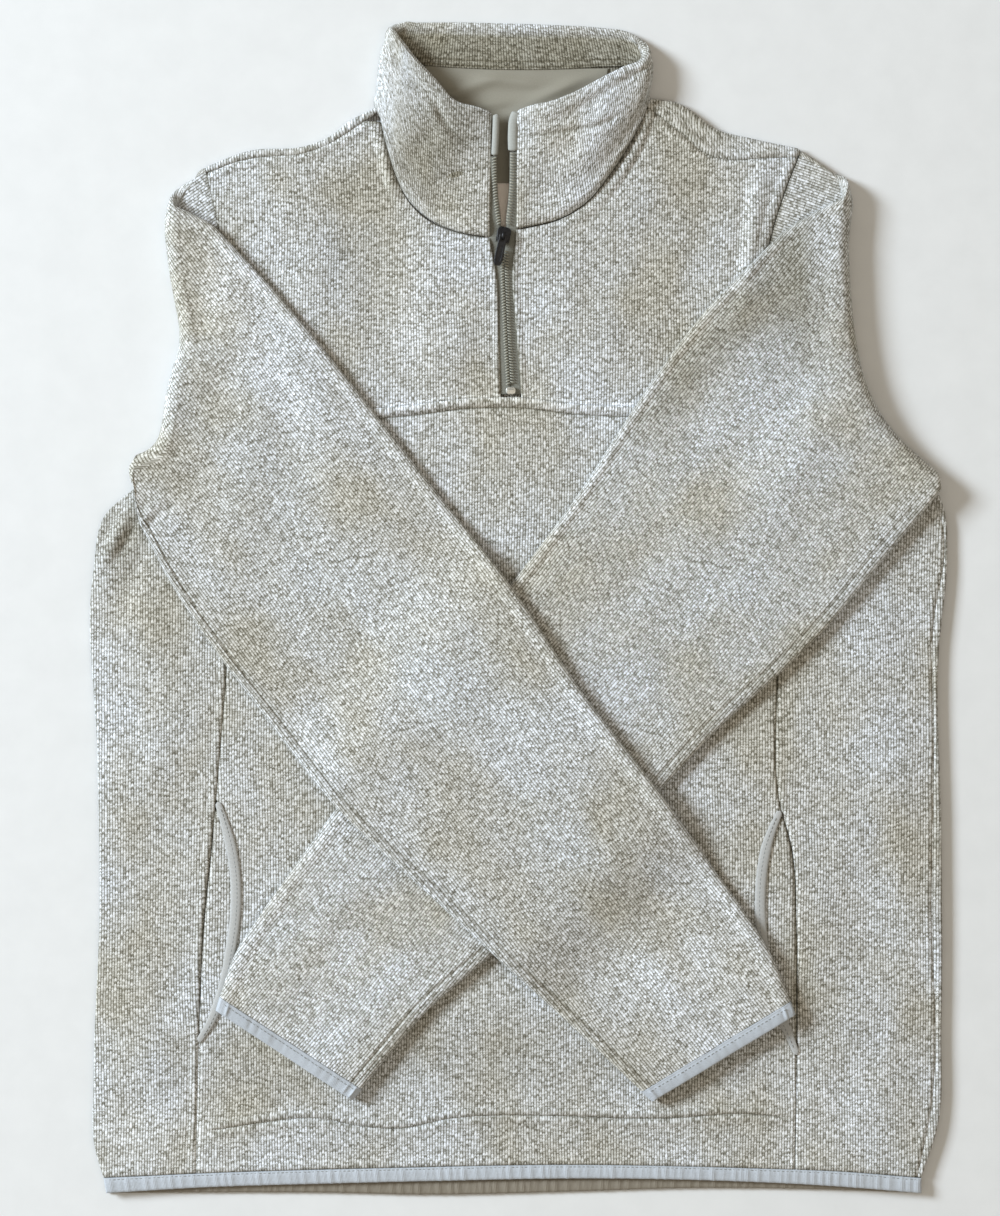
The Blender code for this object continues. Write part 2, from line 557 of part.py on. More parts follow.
def make_back(side_left, side_right, arm_left, arm_right, look):
    """The back lies on the floor and wraps over each shoulder to the shoulder seam on the front."""
    shoulder_share = np.linspace(0, 1, SHOULDER_POINTS)
    left_top = Path(OUTLINE_LEFT).at(shoulder_share)
    right_top = Path(OUTLINE_RIGHT).at(shoulder_share[::-1])
    neck = Path(NECK_BACK).at(np.linspace(0, 1, 6))
    top = np.concatenate([left_top, neck, right_top])
    seam_left = Path(SHOULDER_LEFT).at(shoulder_share)
    seam_right = Path(SHOULDER_RIGHT).at(shoulder_share[::-1])
    seam = np.concatenate([seam_left, neck, seam_right])
    on_shoulder = np.ones(SHOULDER_POINTS)
    on_shoulder[-1] = 0.5
    over = np.concatenate([on_shoulder, np.zeros(len(neck)), on_shoulder[::-1]])

    radius = (front_mid(top[:, 0], top[:, 1]) - BACK_MID) / 2
    outward = unit(np.stack([-np.gradient(top[:, 1]), np.gradient(top[:, 0])], axis=-1))
    width = np.sum((top - seam) * outward, axis=-1)
    bend = np.clip(width - WALL / 2 - WRAP_MARGIN, WRAP_LEAST_BEND, radius)
    axis = top - outward * (bend + WALL / 2)[:, None] * np.minimum(over * 2, 1)[:, None]
    share = shares_of(axis)
    left = np.concatenate([side_left, arm_left[1:]])
    right = np.concatenate([side_right, arm_right[1:]])
    left[-1] = axis[0]
    right[-1] = axis[-1]
    hem = Path(HEM_BACK)
    across = left[0, 0] + share * (right[0, 0] - left[0, 0])
    bottom = hem.at(np.interp(across, hem.points[:, 0], hem.shares))
    rows = (shares_of(left) + shares_of(right)) / 2
    flat = coons(bottom, axis, left, right, share, rows)
    from_left = np.linalg.norm(flat - flat[:, :1], axis=-1)
    from_right = np.linalg.norm(flat - flat[:, -1:], axis=-1)
    on_side = (rows < rows[len(side_left) - 1])[:, None]
    curl = (SIDE_CURL - 0.1) * np.exp(-((np.minimum(from_left, from_right) / CURL_REACH[1]) ** 2))
    height = BACK_MID + curl * on_side
    sheet = np.concatenate([flat, height[..., None]], axis=-1)
    tail = []
    for step in range(1, WRAP_STEPS + 1):
        tail.append(wrapped(axis, seam, outward, radius, bend, over, step / WRAP_STEPS))
    short = flat[-1] - flat[-2]
    pulled = sheet.copy()
    flat_columns = over == 0
    pulled[-1, flat_columns, :2] = (axis - WRAP_TAIL * unit(short))[flat_columns]
    wall("back", np.concatenate([pulled, np.stack(tail)]), look)


def wrapped(axis, seam, outward, radius, bend, over, share):
    """One row of the shoulder's wrap: round a half circle, then flat to the seam, or flat at the neck."""
    row = np.zeros((len(axis), 3))
    for k in range(len(axis)):
        if over[k] == 0:
            row[k, :2] = axis[k] - WRAP_TAIL * (1 - share) * outward[k]
            row[k, 2] = BACK_MID
            continue
        half_turn = math.pi * radius[k]
        tail = max(np.sum((axis[k] - seam[k]) * outward[k]), WRAP_LEAST_TAIL)
        reach = (half_turn + tail) * share if over[k] == 1 else half_turn * over[k] * share
        if reach < half_turn:
            angle = reach / radius[k]
            row[k, :2] = axis[k] + outward[k] * bend[k] * math.sin(angle)
            row[k, 2] = BACK_MID + radius[k] * (1 - math.cos(angle))
        else:
            row[k, :2] = axis[k] + (seam[k] - axis[k]) * (reach - half_turn) / tail
            row[k, 2] = front_mid(row[k, 0], row[k, 1])
    return row


def make_bindings(look):
    """The tape that edges the hem, one piece on the front and one on the back."""
    columns = np.linspace(0, 1, 17)
    for name, upper, lower, middle in (
        ("hem_binding_front", HEM_FRONT, HEM_FRONT_EDGE, front_mid),
        ("hem_binding_back", HEM_BACK, HEM_BACK_EDGE, lambda x, y: BINDING_WALL / 2 + 0 * x),
    ):
        top = Path(upper).at(columns)
        bottom = Path(lower).at(columns)
        share = np.array([0, 0.5, 1.0])[:, None, None]
        flat = bottom[None] * (1 - share) + top[None] * share
        height = middle(flat[..., 0], flat[..., 1])
        wall(name, np.concatenate([flat, height[..., None]], axis=-1), look, BINDING_WALL)


def make_pockets(cloth, tape):
    """Behind each pocket's curved edge shows a facing, and a tape binds the edge."""
    junction_left = armhole(ARMHOLE_LEFT, JUNCTION_LEFT)[BELOW_JUNCTION]
    junction_right = armhole(ARMHOLE_RIGHT, JUNCTION_RIGHT)[BELOW_JUNCTION]
    for side, seam_rows, edge_rows, junction, turn in (
        ("left", PRINCESS_LEFT, POCKET_LEFT, junction_left, 1),
        ("right", PRINCESS_RIGHT, POCKET_RIGHT, junction_right, -1),
    ):
        edge = Path(edge_rows)
        seam = princess(seam_rows, junction)
        outer, inside = pocket_edge(seam, edge_rows)
        wide = inside & (np.abs(outer[:, 0] - seam[:, 0]) > WALL)
        parts = np.array([0.0, 0.5, 1.0])[:, None, None]
        start = seam[wide] + np.array([POCKET_SEAM_GAP * turn, 0])
        end = outer[wide] - np.array([POCKET_SEAM_GAP * turn, 0])
        flat = start[None] * (1 - parts) + end[None] * parts
        height = front_mid(flat[..., 0], flat[..., 1])
        wall(f"pocket_facing_{side}", np.concatenate([flat, height[..., None]], axis=-1), cloth, gap=0.0)
        lift = WALL / 2 + POCKET_TAPE_GAP + POCKET_TAPE_WALL / 2
        strip(f"pocket_binding_{side}", edge, POCKET_TAPE_WIDTH, front_mid, tape, POCKET_TAPE_WALL, lift, 12)


# Sleeves


LOW_END = 0.93  # share of the fold's axis, from the shoulder, where the sleeve's first layer ends
HIGH_START = 0.085  # share where its folded layer starts
SEAM_CLEAR = 0.65  # from the armhole to the middle of the sleeve's first section
FOLD_ANGLES = (22, 50, 78, 102, 130, 158, 180)  # sections round the fold
SECTIONS_BEFORE = 3 + len(FOLD_ANGLES)
PUFF_FADE = 22.0  # how fast the fold's extra height dies away along the sleeve
THINNEST = -0.55  # least and most that folds change a sleeve's thickness
THICKEST = 2.2
CUFF_PROUD = 0.2  # how much thicker the cuff tape is than the sleeve, on each side
CUFF_FROM = 0.75  # share of the sleeve where the cuff starts to rise
SLEEVE_STEPS = np.concatenate([[0, 0.02, 0.05], np.linspace(0.09, 1.0, 18)])


class Sleeve:
    """A flattened tube from the armhole out to the fold, over, and back across the front to its cuff."""

    def __init__(self, side, arm, fold, upper, lower, under):
        self.side = side  # -1 for the left sleeve, 1 for the right one
        self.under = under
        outside = Path(fold)
        axis = outside.offset(-self.side * (FOLD_RADIUS + SLEEVE_HALF))
        self.start = arm[:0:-1].copy()  # from the shoulder to just short of the underarm
        self.start[-1] += (EDGE_ROUND + SEAM_GAP) * unit(self.start[-2] - self.start[-1])
        self.across = shares_of(self.start)
        self.low = axis.at(self.across * LOW_END)
        self.high = axis.at(HIGH_START + self.across * (1 - HIGH_START))
        self.upper_edge = self.inset_edge(self.high[0], upper, -1)
        self.lower_edge = self.inset_edge(self.high[-1], lower, 1)

    def inset_edge(self, first, rows, turn):
        line = Path(rows).offset(self.side * turn * EDGE_ROUND)
        return Path([tuple(first)] + [tuple(point) for point in line.points[::6]], 6)

    def folded(self, share):
        """The middle of the sleeve after its fold, at shares of the way to the cuff."""
        upper = self.upper_edge.at(share)
        lower = self.lower_edge.at(share)
        cuff = upper[-1] + (lower[-1] - upper[-1]) * self.across[:, None]
        flat = coons(upper, lower, self.high, cuff, share, self.across)
        return np.swapaxes(flat, 0, 1)


def half_thickness(x, y):
    """Half the thickness of a flattened sleeve, more where a fold rises."""
    return SLEEVE_HALF + np.clip(folds(SLEEVE_FOLDS, x, y), THINNEST, THICKEST) / 2


def sleeve_sections(sleeve, steps):
    """The middle points, the outward directions and the half thicknesses of a sleeve's sections."""
    middles, directions = [], []
    out = unit(sleeve.low - sleeve.start)
    level = np.full(len(sleeve.start), (FRONT_MID + WALL / 2) / 2)
    first = sleeve.start + SEAM_CLEAR * out
    for share in (0.0, 0.5, 1.0):
        flat = first + (sleeve.low - first) * share
        middles.append(np.concatenate([flat, level[:, None]], axis=-1))
        directions.append(np.tile([0.0, 0.0, 1.0], (len(flat), 1)))
    ahead = np.gradient(sleeve.low, axis=0)
    outward = unit(np.stack([ahead[:, 1], -ahead[:, 0]], axis=-1)) * -sleeve.side
    for angle in np.radians(FOLD_ANGLES):
        turn = angle / math.pi
        axis = sleeve.low + (sleeve.high - sleeve.low) * turn
        flat = axis + outward * FOLD_RADIUS * math.sin(angle)
        height = level + FOLD_RADIUS * (1 - math.cos(angle))
        middles.append(np.concatenate([flat, height[:, None]], axis=-1))
        upright = np.full((len(flat), 1), math.cos(angle))
        directions.append(np.concatenate([-outward * math.sin(angle), upright], axis=-1))
    flat = sleeve.folded(steps)
    half = half_thickness(flat[..., 0], flat[..., 1])
    resting = sleeve.under(flat[..., 0], flat[..., 1]) + LAYER_GAP + half
    lift = CUFF_LIFT * np.clip((steps - CUFF_FROM) / (1 - CUFF_FROM), 0, 1) ** 2
    puff = (middles[-1][:, 2] - resting[0])[None] * np.exp(-steps[:, None] * PUFF_FADE)
    height = resting + puff + lift[:, None]
    for row in range(1, len(steps)):
        middles.append(np.concatenate([flat[row], height[row][:, None]], axis=-1))
        directions.append(np.tile([0.0, 0.0, -1.0], (flat.shape[1], 1)))
    middle = np.stack(middles)
    direction = np.stack(directions)
    body = np.full((SECTIONS_BEFORE, middle.shape[1]), SLEEVE_HALF)
    return middle, direction, np.concatenate([body, half[1:]])


def tube(middle, direction, half, edge, inward=0.0):
    """Rings round sections of a flattened tube: one side, a round edge, the other side, the other edge."""
    side = direction * (half - inward)[..., None]
    first = unit(middle[:, 0] - middle[:, 1])
    last = unit(middle[:, -1] - middle[:, -2])
    radius = edge - inward
    parts = [middle + side]
    for angle in np.radians((45, 90, 135)):
        turn = last * math.sin(angle) * radius + direction[:, -1] * math.cos(angle) * radius
        parts.append((middle[:, -1] + turn)[:, None])
    parts.append((middle - side)[:, ::-1])
    for angle in np.radians((135, 90, 45)):
        turn = first * math.sin(angle) * radius + direction[:, 0] * math.cos(angle) * radius
        parts.append((middle[:, 0] + turn)[:, None])
    return np.concatenate(parts, axis=1)


def edge_eased(half):
    """A sleeve's half thickness drawn to its edge's radius at its first and last point."""
    eased = half.copy()
    eased[:, 0] = EDGE_ROUND
    eased[:, -1] = EDGE_ROUND
    return eased


def make_sleeves(cloth, tape):
    arm_left = armhole(ARMHOLE_LEFT, JUNCTION_LEFT)
    arm_right = armhole(ARMHOLE_RIGHT, JUNCTION_RIGHT)
    left = Sleeve(-1, arm_left, FOLD_LEFT, SLEEVE_LEFT_UPPER, SLEEVE_LEFT_LOWER, under_left_sleeve)
    right = Sleeve(1, arm_right, FOLD_RIGHT, SLEEVE_RIGHT_UPPER, SLEEVE_RIGHT_LOWER, front_top)
    for name, sleeve in (("left", left), ("right", right)):
        middle, direction, half = sleeve_sections(sleeve, SLEEVE_STEPS)
        half = edge_eased(half)
        outer = tube(middle, direction, half, EDGE_ROUND)
        inner = tube(middle, direction, half, EDGE_ROUND, WALL)
        solid(f"sleeve_{name}", outer, inner, cloth, ring=True)
        onward = unit(middle[-1] - middle[-2])
        onward[:, 2] = 0
        distances = (SEAM_GAP, 0.5 * BINDING_WIDTH, BINDING_WIDTH)
        cuff = np.stack([middle[-1] + onward * distance for distance in distances])
        facing = np.stack([direction[-1]] * 3)
        thick = np.stack([half[-1]] * 3) + CUFF_PROUD
        outer = tube(cuff, facing, thick, EDGE_ROUND + CUFF_PROUD)
        inner = tube(cuff, facing, thick, EDGE_ROUND + CUFF_PROUD, WALL)
        solid(f"cuff_binding_{name}", outer, inner, tape, ring=True)


# Collar


def collar_sheet(rises):
    """The middle of the collar's cloth, a row for each section and a column for each share of its height."""
    table = np.array(COLLAR)
    base = table[:, :2]
    level = table[:, 2]
    base_z = BACK_MID + level * (front_mid(base[:, 0], base[:, 1]) - BACK_MID)
    bottom = np.concatenate([base, base_z[:, None]], axis=-1)
    top = table[:, 3:]
    rise = np.array(rises)[None, :, None]
    sheet = bottom[:, None] * (1 - rise) + top[:, None] * rise
    sheet[..., 2] += COLLAR_BULGE * level[:, None] ** 2 * np.sin(np.pi * rise[..., 0])
    return sheet


def make_collar(cloth):
    """The collar's outer cloth, and the inner layer that shows behind its opening."""
    sheet = collar_sheet(COLLAR_RISE)
    out = normals_of(sheet) * WALL / 2
    if out[12, 3, 2] > 0:
        out = -out
    solid("collar", sheet + out, sheet - out, cloth)
    sheet = collar_sheet(FACING_RISE)
    out = normals_of(sheet)
    if out[12, 2, 2] > 0:
        out = -out
    near = WALL / 2 + FACING_GAP
    solid("collar_facing", sheet - out * near, sheet - out * (near + FACING_WALL), cloth)


def make_lining(look, label_look):
    """The smooth half moon inside the back of the neck, and the blank label on it."""
    columns = np.linspace(0, 1, 9)
    top = Path(LINING_TOP).at(columns)
    bottom = Path(LINING_FOOT).at(columns)
    rows = np.linspace(0, 1, 7)[:, None, None]
    flat = bottom[None] * (1 - rows) + top[None] * rows
    height = np.full(flat.shape[:2], WALL + LINING_GAP + LINING_WALL / 2)
    wall("neck_lining", np.concatenate([flat, height[..., None]], axis=-1), look, LINING_WALL)
    (left, low), (right, high) = LABEL_BOX
    level = WALL + LINING_WALL + 2 * LINING_GAP + LABEL_WALL / 2
    corners = [[(x, y, level) for x in np.linspace(left, right, 3)] for y in np.linspace(low, high, 4)]
    wall("neck_label", np.array(corners), label_look, LABEL_WALL, gap=0.0)


# Zip


def opening_height(x, y):
    """The height of the middle of the cloth beside the zip: the front's, then up the collar's edge."""
    table = np.array(COLLAR)
    base_y = (table[0, 1] + table[-1, 1]) / 2
    top_y = (table[0, 4] + table[-1, 4]) / 2
    rise = np.clip((y - base_y) / (top_y - base_y), 0, 1)
    base = front_mid(np.asarray(x), np.minimum(y, base_y))
    return base * (1 - rise) + table[0, 5] * rise + COLLAR_BULGE * np.sin(np.pi * rise)


def round_edges(made, radius):
    """Bevels all edges of a shape, by a radius in millimetres."""
    bmesh.ops.bevel(made, geom=made.edges[:], offset=radius * 0.001, segments=2, affect="EDGES", profile=0.5)


def box_mesh(name, size, centre, bevel=0.0):
    """A box, in millimetres, with its edges bevelled."""
    made = bmesh.new()
    bmesh.ops.create_cube(made, size=1.0)
    bmesh.ops.scale(made, vec=[side * 0.001 for side in size], verts=made.verts)
    if bevel:
        round_edges(made, bevel)
    bmesh.ops.translate(made, vec=[place * 0.001 for place in centre], verts=made.verts)
    mesh = bpy.data.meshes.new(name)
    made.to_mesh(mesh)
    made.free()
    return mesh


def guide(name, mesh, at, turn):
    """A shape that only cuts or joins another one."""
    made = bpy.data.objects.new(name, mesh)
    made.location = at
    made.rotation_euler = turn
    made.hide_render = True
    made.display_type = "WIRE"
    bpy.data.collections["guides"].objects.link(made)
    return made


def boolean(target, other, operation):
    change = target.modifiers.new(other.name, "BOOLEAN")
    change.operation = operation
    change.solver = "EXACT"
    change.object = other


def slider_top():
    return opening_height(*SLIDER_AT) + COIL_WALL + SLIDER_RISE + SEAM_GAP + SLIDER_THICK


def make_slider(look):
    """A wedge that rides on the teeth, with an arch that holds the pull tab."""
    top = slider_top()
    made = bmesh.new()
    bmesh.ops.create_cube(made, size=1.0)
    for vert in made.verts:
        wide = SLIDER_WIDE if vert.co.y > 0 else SLIDER_NARROW
        size = (wide * 0.001, SLIDER_LENGTH * 0.001, SLIDER_THICK * 0.001)
        vert.co = [place * side for place, side in zip(vert.co, size)]
    round_edges(made, SLIDER_BEVEL)
    mesh = bpy.data.meshes.new("zip_slider")
    made.to_mesh(mesh)
    made.free()
    slider = add("zip_slider", mesh, look)
    slider.location = scene_point(*SLIDER_AT, top - SLIDER_THICK / 2)
    slider.rotation_euler = (0, 0, TAB_SWING)
    at = scene_point(*SLIDER_AT, top)
    arch_size = (ARCH_WIDTH, ARCH_LENGTH, ARCH_HEIGHT + 1)
    arch = box_mesh("arch", arch_size, (0, 0, (ARCH_HEIGHT - 1) / 2), 0.3)
    eye_length = ARCH_LENGTH - 2 * ARCH_POST
    eye_height = ARCH_HEIGHT - ARCH_BAR
    eye = box_mesh("arch_eye", (ARCH_WIDTH * 3, eye_length, eye_height), (0, 0, eye_height / 2 + 0.01))
    arch_guide = guide("arch", arch, at, slider.rotation_euler)
    eye_guide = guide("arch_eye", eye, at, slider.rotation_euler)
    boolean(slider, arch_guide, "UNION")
    boolean(slider, eye_guide, "DIFFERENCE")
    return at


def make_tab(at, look):
    """The pull tab, with its origin on the axis that it swings about under the slider's arch."""
    made = bmesh.new()
    bmesh.ops.create_cube(made, size=1.0)
    for vert in made.verts:
        wide = TAB_NECK if vert.co.y > 0 else TAB_WIDTH
        y = -TAB_LENGTH if vert.co.y < 0 else TAB_THICK / 2
        vert.co = (vert.co.x * wide * 0.001, y * 0.001, vert.co.z * TAB_THICK * 0.001)
    round_edges(made, TAB_BEVEL)
    mesh = bpy.data.meshes.new("pull_tab")
    made.to_mesh(mesh)
    made.free()
    tab = add("pull_tab", mesh, look)
    tab.location = at + np.array([0, 0, TAB_AXIS_RISE * 0.001])
    tab.rotation_euler = (TAB_DIP, 0, TAB_SWING)
    centre = (0, -TAB_THICK / 2 - TAB_EYE_LENGTH / 2, 0)
    hole = box_mesh("tab_eye", (TAB_EYE_WIDTH, TAB_EYE_LENGTH, TAB_THICK * 3), centre)
    boolean(tab, guide("tab_eye", hole, tab.location, tab.rotation_euler), "DIFFERENCE")


def make_zip(tape, coil, black, metal, pale):
    """Tapes, teeth, garages, stop and slider, from the collar down to the chest seam."""
    lift = TEETH_LIFT + SEAM_GAP + COIL_WALL / 2
    for side, edge, teeth, garage, turn in (
        ("left", Path(ZIP_LEFT), TEETH_LEFT, GARAGE_LEFT, 1),
        ("right", Path(ZIP_RIGHT), TEETH_RIGHT, GARAGE_RIGHT, -1),
    ):
        cloth_edge = np.concatenate([edge.points, [COLLAR_EDGE[side]]])
        middle_line = np.concatenate([Path(SPINE).points, Path(teeth).points[::-1]])
        rows = np.linspace(ZIP_FOOT, ZIP_HEAD[side], 16)
        outer = at_heights(cloth_edge, rows) + np.array([TAPE_OUTSET * turn, 0])
        inner = at_heights(middle_line, rows)
        inner[:, 0] += np.interp(rows, ZIP_SPLIT, (-TAPE_MEET, TEETH_WIDTH / 2)) * turn
        flat = np.stack([outer, (outer + inner) / 2, inner])
        height = opening_height(flat[..., 0], flat[..., 1]) - TAPE_DROP
        sheet = np.concatenate([flat, height[..., None]], axis=-1)
        up = np.array([0, 0, TAPE_WALL / 2])
        solid(f"zip_tape_{side}", sheet + up, sheet - up, tape)
        strip(f"zip_teeth_{side}", Path(teeth), TEETH_WIDTH, opening_height, coil, COIL_WALL, lift, 8)
        name = f"zip_garage_{side}"
        strip(name, Path(garage), GARAGE_WIDTH, opening_height, pale, GARAGE_WALL, GARAGE_LIFT, 5)
    strip("zip_chain", Path(CHAIN), CHAIN_WIDTH, opening_height, coil, COIL_WALL, lift, 12)
    height = opening_height(*STOP_AT) + TEETH_LIFT + SEAM_GAP + STOP_SIZE[2] / 2
    stop = add("zip_stop", box_mesh("zip_stop", STOP_SIZE, (0, 0, 0), 0.5), metal)
    stop.location = scene_point(*STOP_AT, height)
    make_tab(make_slider(black), black)


def at_heights(line, rows):
    """The places where a rising line passes given heights up the garment."""
    return np.stack([np.interp(rows, line[:, 1], line[:, 0]), rows], axis=-1)


def main():
    for old in list(bpy.data.objects):
        bpy.data.objects.remove(old)
    for name in (PART_NAME, "guides"):
        bpy.context.scene.collection.children.link(bpy.data.collections.new(name))
    knit = material("heather_knit", (0.52, 0.52, 0.47), 0.95)
    tape = material("pale_grey_binding", (0.56, 0.59, 0.60), 0.8)
    lining = material("taupe_lining", (0.40, 0.38, 0.34), 0.7)
    label = material("blank_label", (0.85, 0.76, 0.70), 0.7)
    zip_tape = material("olive_zip_tape", (0.20, 0.20, 0.16), 0.85)
    coil = material("olive_zip_coil", (0.30, 0.30, 0.25), 0.5)
    black = material("black_enamel", (0.02, 0.02, 0.022), 0.35, 0.6)
    metal = material("pale_stop", (0.62, 0.62, 0.60), 0.35, 0.9)
    make_body(knit)
    make_bindings(tape)
    make_pockets(knit, tape)
    make_sleeves(knit, tape)
    make_collar(knit)
    make_lining(lining, label)
    make_zip(zip_tape, coil, black, metal, tape)


main()
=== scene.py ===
import math

import bmesh
import bpy
import numpy as np
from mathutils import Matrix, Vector


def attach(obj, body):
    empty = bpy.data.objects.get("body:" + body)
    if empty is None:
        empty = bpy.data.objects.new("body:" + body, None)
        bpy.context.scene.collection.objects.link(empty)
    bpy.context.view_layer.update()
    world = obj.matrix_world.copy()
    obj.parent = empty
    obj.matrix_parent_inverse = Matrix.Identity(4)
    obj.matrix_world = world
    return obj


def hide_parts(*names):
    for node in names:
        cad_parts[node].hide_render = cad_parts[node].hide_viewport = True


# Tables are in millimetres and the scene is in metres. X runs across the garment, Y from the hem towards the
# collar, and Z rises from the surface that it lies on. Left and right are as seen from above.

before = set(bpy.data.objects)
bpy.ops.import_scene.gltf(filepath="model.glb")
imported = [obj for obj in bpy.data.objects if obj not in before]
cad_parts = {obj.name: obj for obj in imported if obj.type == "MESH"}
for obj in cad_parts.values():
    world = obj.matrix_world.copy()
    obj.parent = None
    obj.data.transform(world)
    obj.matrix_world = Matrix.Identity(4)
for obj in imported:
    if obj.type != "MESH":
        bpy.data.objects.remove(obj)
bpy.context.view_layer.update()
GARMENT = "garment"
TAB = "pull_tab"

# Sizes of the solids, in millimetres
MIDDLE = (-1.25, 398.9)  # of the box round the whole garment, in the tables' own x and y
WALL = 2.6
LAYER_GAP = 0.5
FRONT_LIFT = 1.6
SLEEVE_SPACE = 1.6
FOLD_RADIUS = 5.2
CUFF_LIFT = 1.6
CROSSING_SPACE = 1.9
BRIDGE_REACH = 58.0
BRIDGE_LEVEL = 11.0
SEAM_INSET = 0.12  # each sewn edge is drawn in by this
BACK_MID = WALL / 2
FRONT_MID = WALL + FRONT_LIFT + WALL / 2
SLEEVE_HALF = WALL + SLEEVE_SPACE / 2
EDGE_ROUND = SLEEVE_HALF - 0.1

# Columns of every outline table: x, y.
SIDE_LEFT = (
    (-284, 12), (-290, 33), (-290.7, 79), (-286.6, 198), (-288, 297), (-291, 424), (-283, 463), (-262, 482),
)
SIDE_RIGHT = (
    (273, 12), (284, 46), (286.6, 114), (286.6, 248), (284.6, 365), (290.7, 439), (289.5, 463), (284, 480),
)
HEM_FRONT = ((-284, 12), (-221, 15), (-83, 19), (32, 21), (162, 18.5), (217, 16.5), (273, 12))
HEM_FRONT_EDGE = (
    (-282, 1.5), (-215, 5.5), (-133, 8), (-50, 10), (32, 11.5), (119, 10.5), (210, 6.5), (273, 1.5),
)
HEM_BACK = ((-284, 12), (-133, 11), (32, 12), (119, 14), (273, 12))
HEM_BACK_EDGE = ((-282, 1), (-133, 1.4), (-67, 0), (32, 2), (119, 4.5), (210, 3.4), (273, 1))
ARMHOLE_LEFT = (
    (-262, 482), (-242, 488), (-225, 509), (-215, 534), (-203, 582), (-201.5, 630), (-208, 667), (-214.5, 696),
)
ARMHOLE_RIGHT = (
    (284, 480), (261, 488), (224, 509), (194, 536), (174, 582), (167.5, 635), (179, 681), (189.5, 708),
)
CHEST_LEFT = ((-110, 534.5), (-72, 538), (-36, 542.3), (-13.3, 543))
CHEST_RIGHT = ((0.5, 543), (37, 538.6), (81, 536.5))
PRINCESS_LEFT = ((-221, 15), (-219, 105), (-216.5, 178), (-208, 261), (-203, 321), (-199.6, 366), (-203, 460))
PRINCESS_RIGHT = ((186.7, 17.5), (188, 100), (188, 181), (184.6, 237), (176, 269), (174.4, 337), (182, 446))
POCKET_LEFT = (
    (-219, 105), (-212.5, 115), (-203, 138), (-197, 168), (-193.5, 198), (-195, 227), (-201, 253), (-206, 268),
)
POCKET_RIGHT = (
    (188, 96), (183.3, 108), (173, 130), (166.3, 160), (163.5, 185), (163.5, 212), (168.3, 241), (176.5, 262),
)
ZIP_LEFT = ((-13.3, 543), (-14.6, 596), (-16, 626), (-20.7, 651.4))
ZIP_RIGHT = ((0.5, 543), (-3.7, 596), (-5.8, 626), (-3.1, 656.9))
SHOULDER_LEFT = ((-214.5, 695), (-196, 702.5), (-180.5, 706), (-147, 709.5), (-124, 719.5), (-99, 736))
SHOULDER_RIGHT = (
    (189.5, 706.5), (162, 705.5), (144.5, 704.5), (127, 708), (110.5, 722), (93, 735), (84.5, 741),
)
OUTLINE_LEFT = ((-216, 699.5), (-186, 711), (-144.5, 715), (-129, 721.5), (-116, 731.7), (-101, 739.5))
OUTLINE_RIGHT = ((191, 712.5), (156, 720), (131, 727), (118, 737), (109, 743), (91, 746.6))
NECK_BACK = ((-96, 743.4), (-82, 744), (-48, 740), (-7, 738), (34, 740), (64, 744.6), (76, 745.6))

# Each sleeve: the outside of its fold from shoulder to underarm, then its edges from the fold to the cuff.
FOLD_LEFT = (
    (-233, 690), (-241.5, 676), (-241.5, 650), (-237, 616), (-231.5, 578),
    (-239, 557), (-243, 532), (-247, 510), (-263, 498), (-265, 484),
)
FOLD_RIGHT = (
    (221, 698), (227.5, 687), (223.5, 660), (224, 626), (228, 582),
    (235, 552), (247, 528), (268, 505), (288, 489),
)
SLEEVE_LEFT_UPPER = (
    (-213, 654.8), (-176, 616), (-129, 560), (-69, 483.5), (-8, 406),
    (38, 337), (86, 275), (128, 216), (166, 158), (177, 130.5),
)
SLEEVE_LEFT_LOWER = (
    (-255, 464), (-240, 433), (-217, 395), (-174, 337), (-117, 266),
    (-60, 213), (15, 143), (49, 111.5), (87, 76),
)
SLEEVE_RIGHT_UPPER = (
    (185, 653), (129.5, 598), (81, 532), (45, 476), (-7, 406), (-61.5, 337),
    (-117, 264), (-145, 225), (-173, 185.6), (-189, 160), (-198, 133.5),
)
SLEEVE_RIGHT_LOWER = (
    (270, 471), (239, 434), (205, 393), (177, 365), (130, 323),
    (86, 276), (34, 224), (-19, 173), (-67, 132), (-113, 77.5),
)

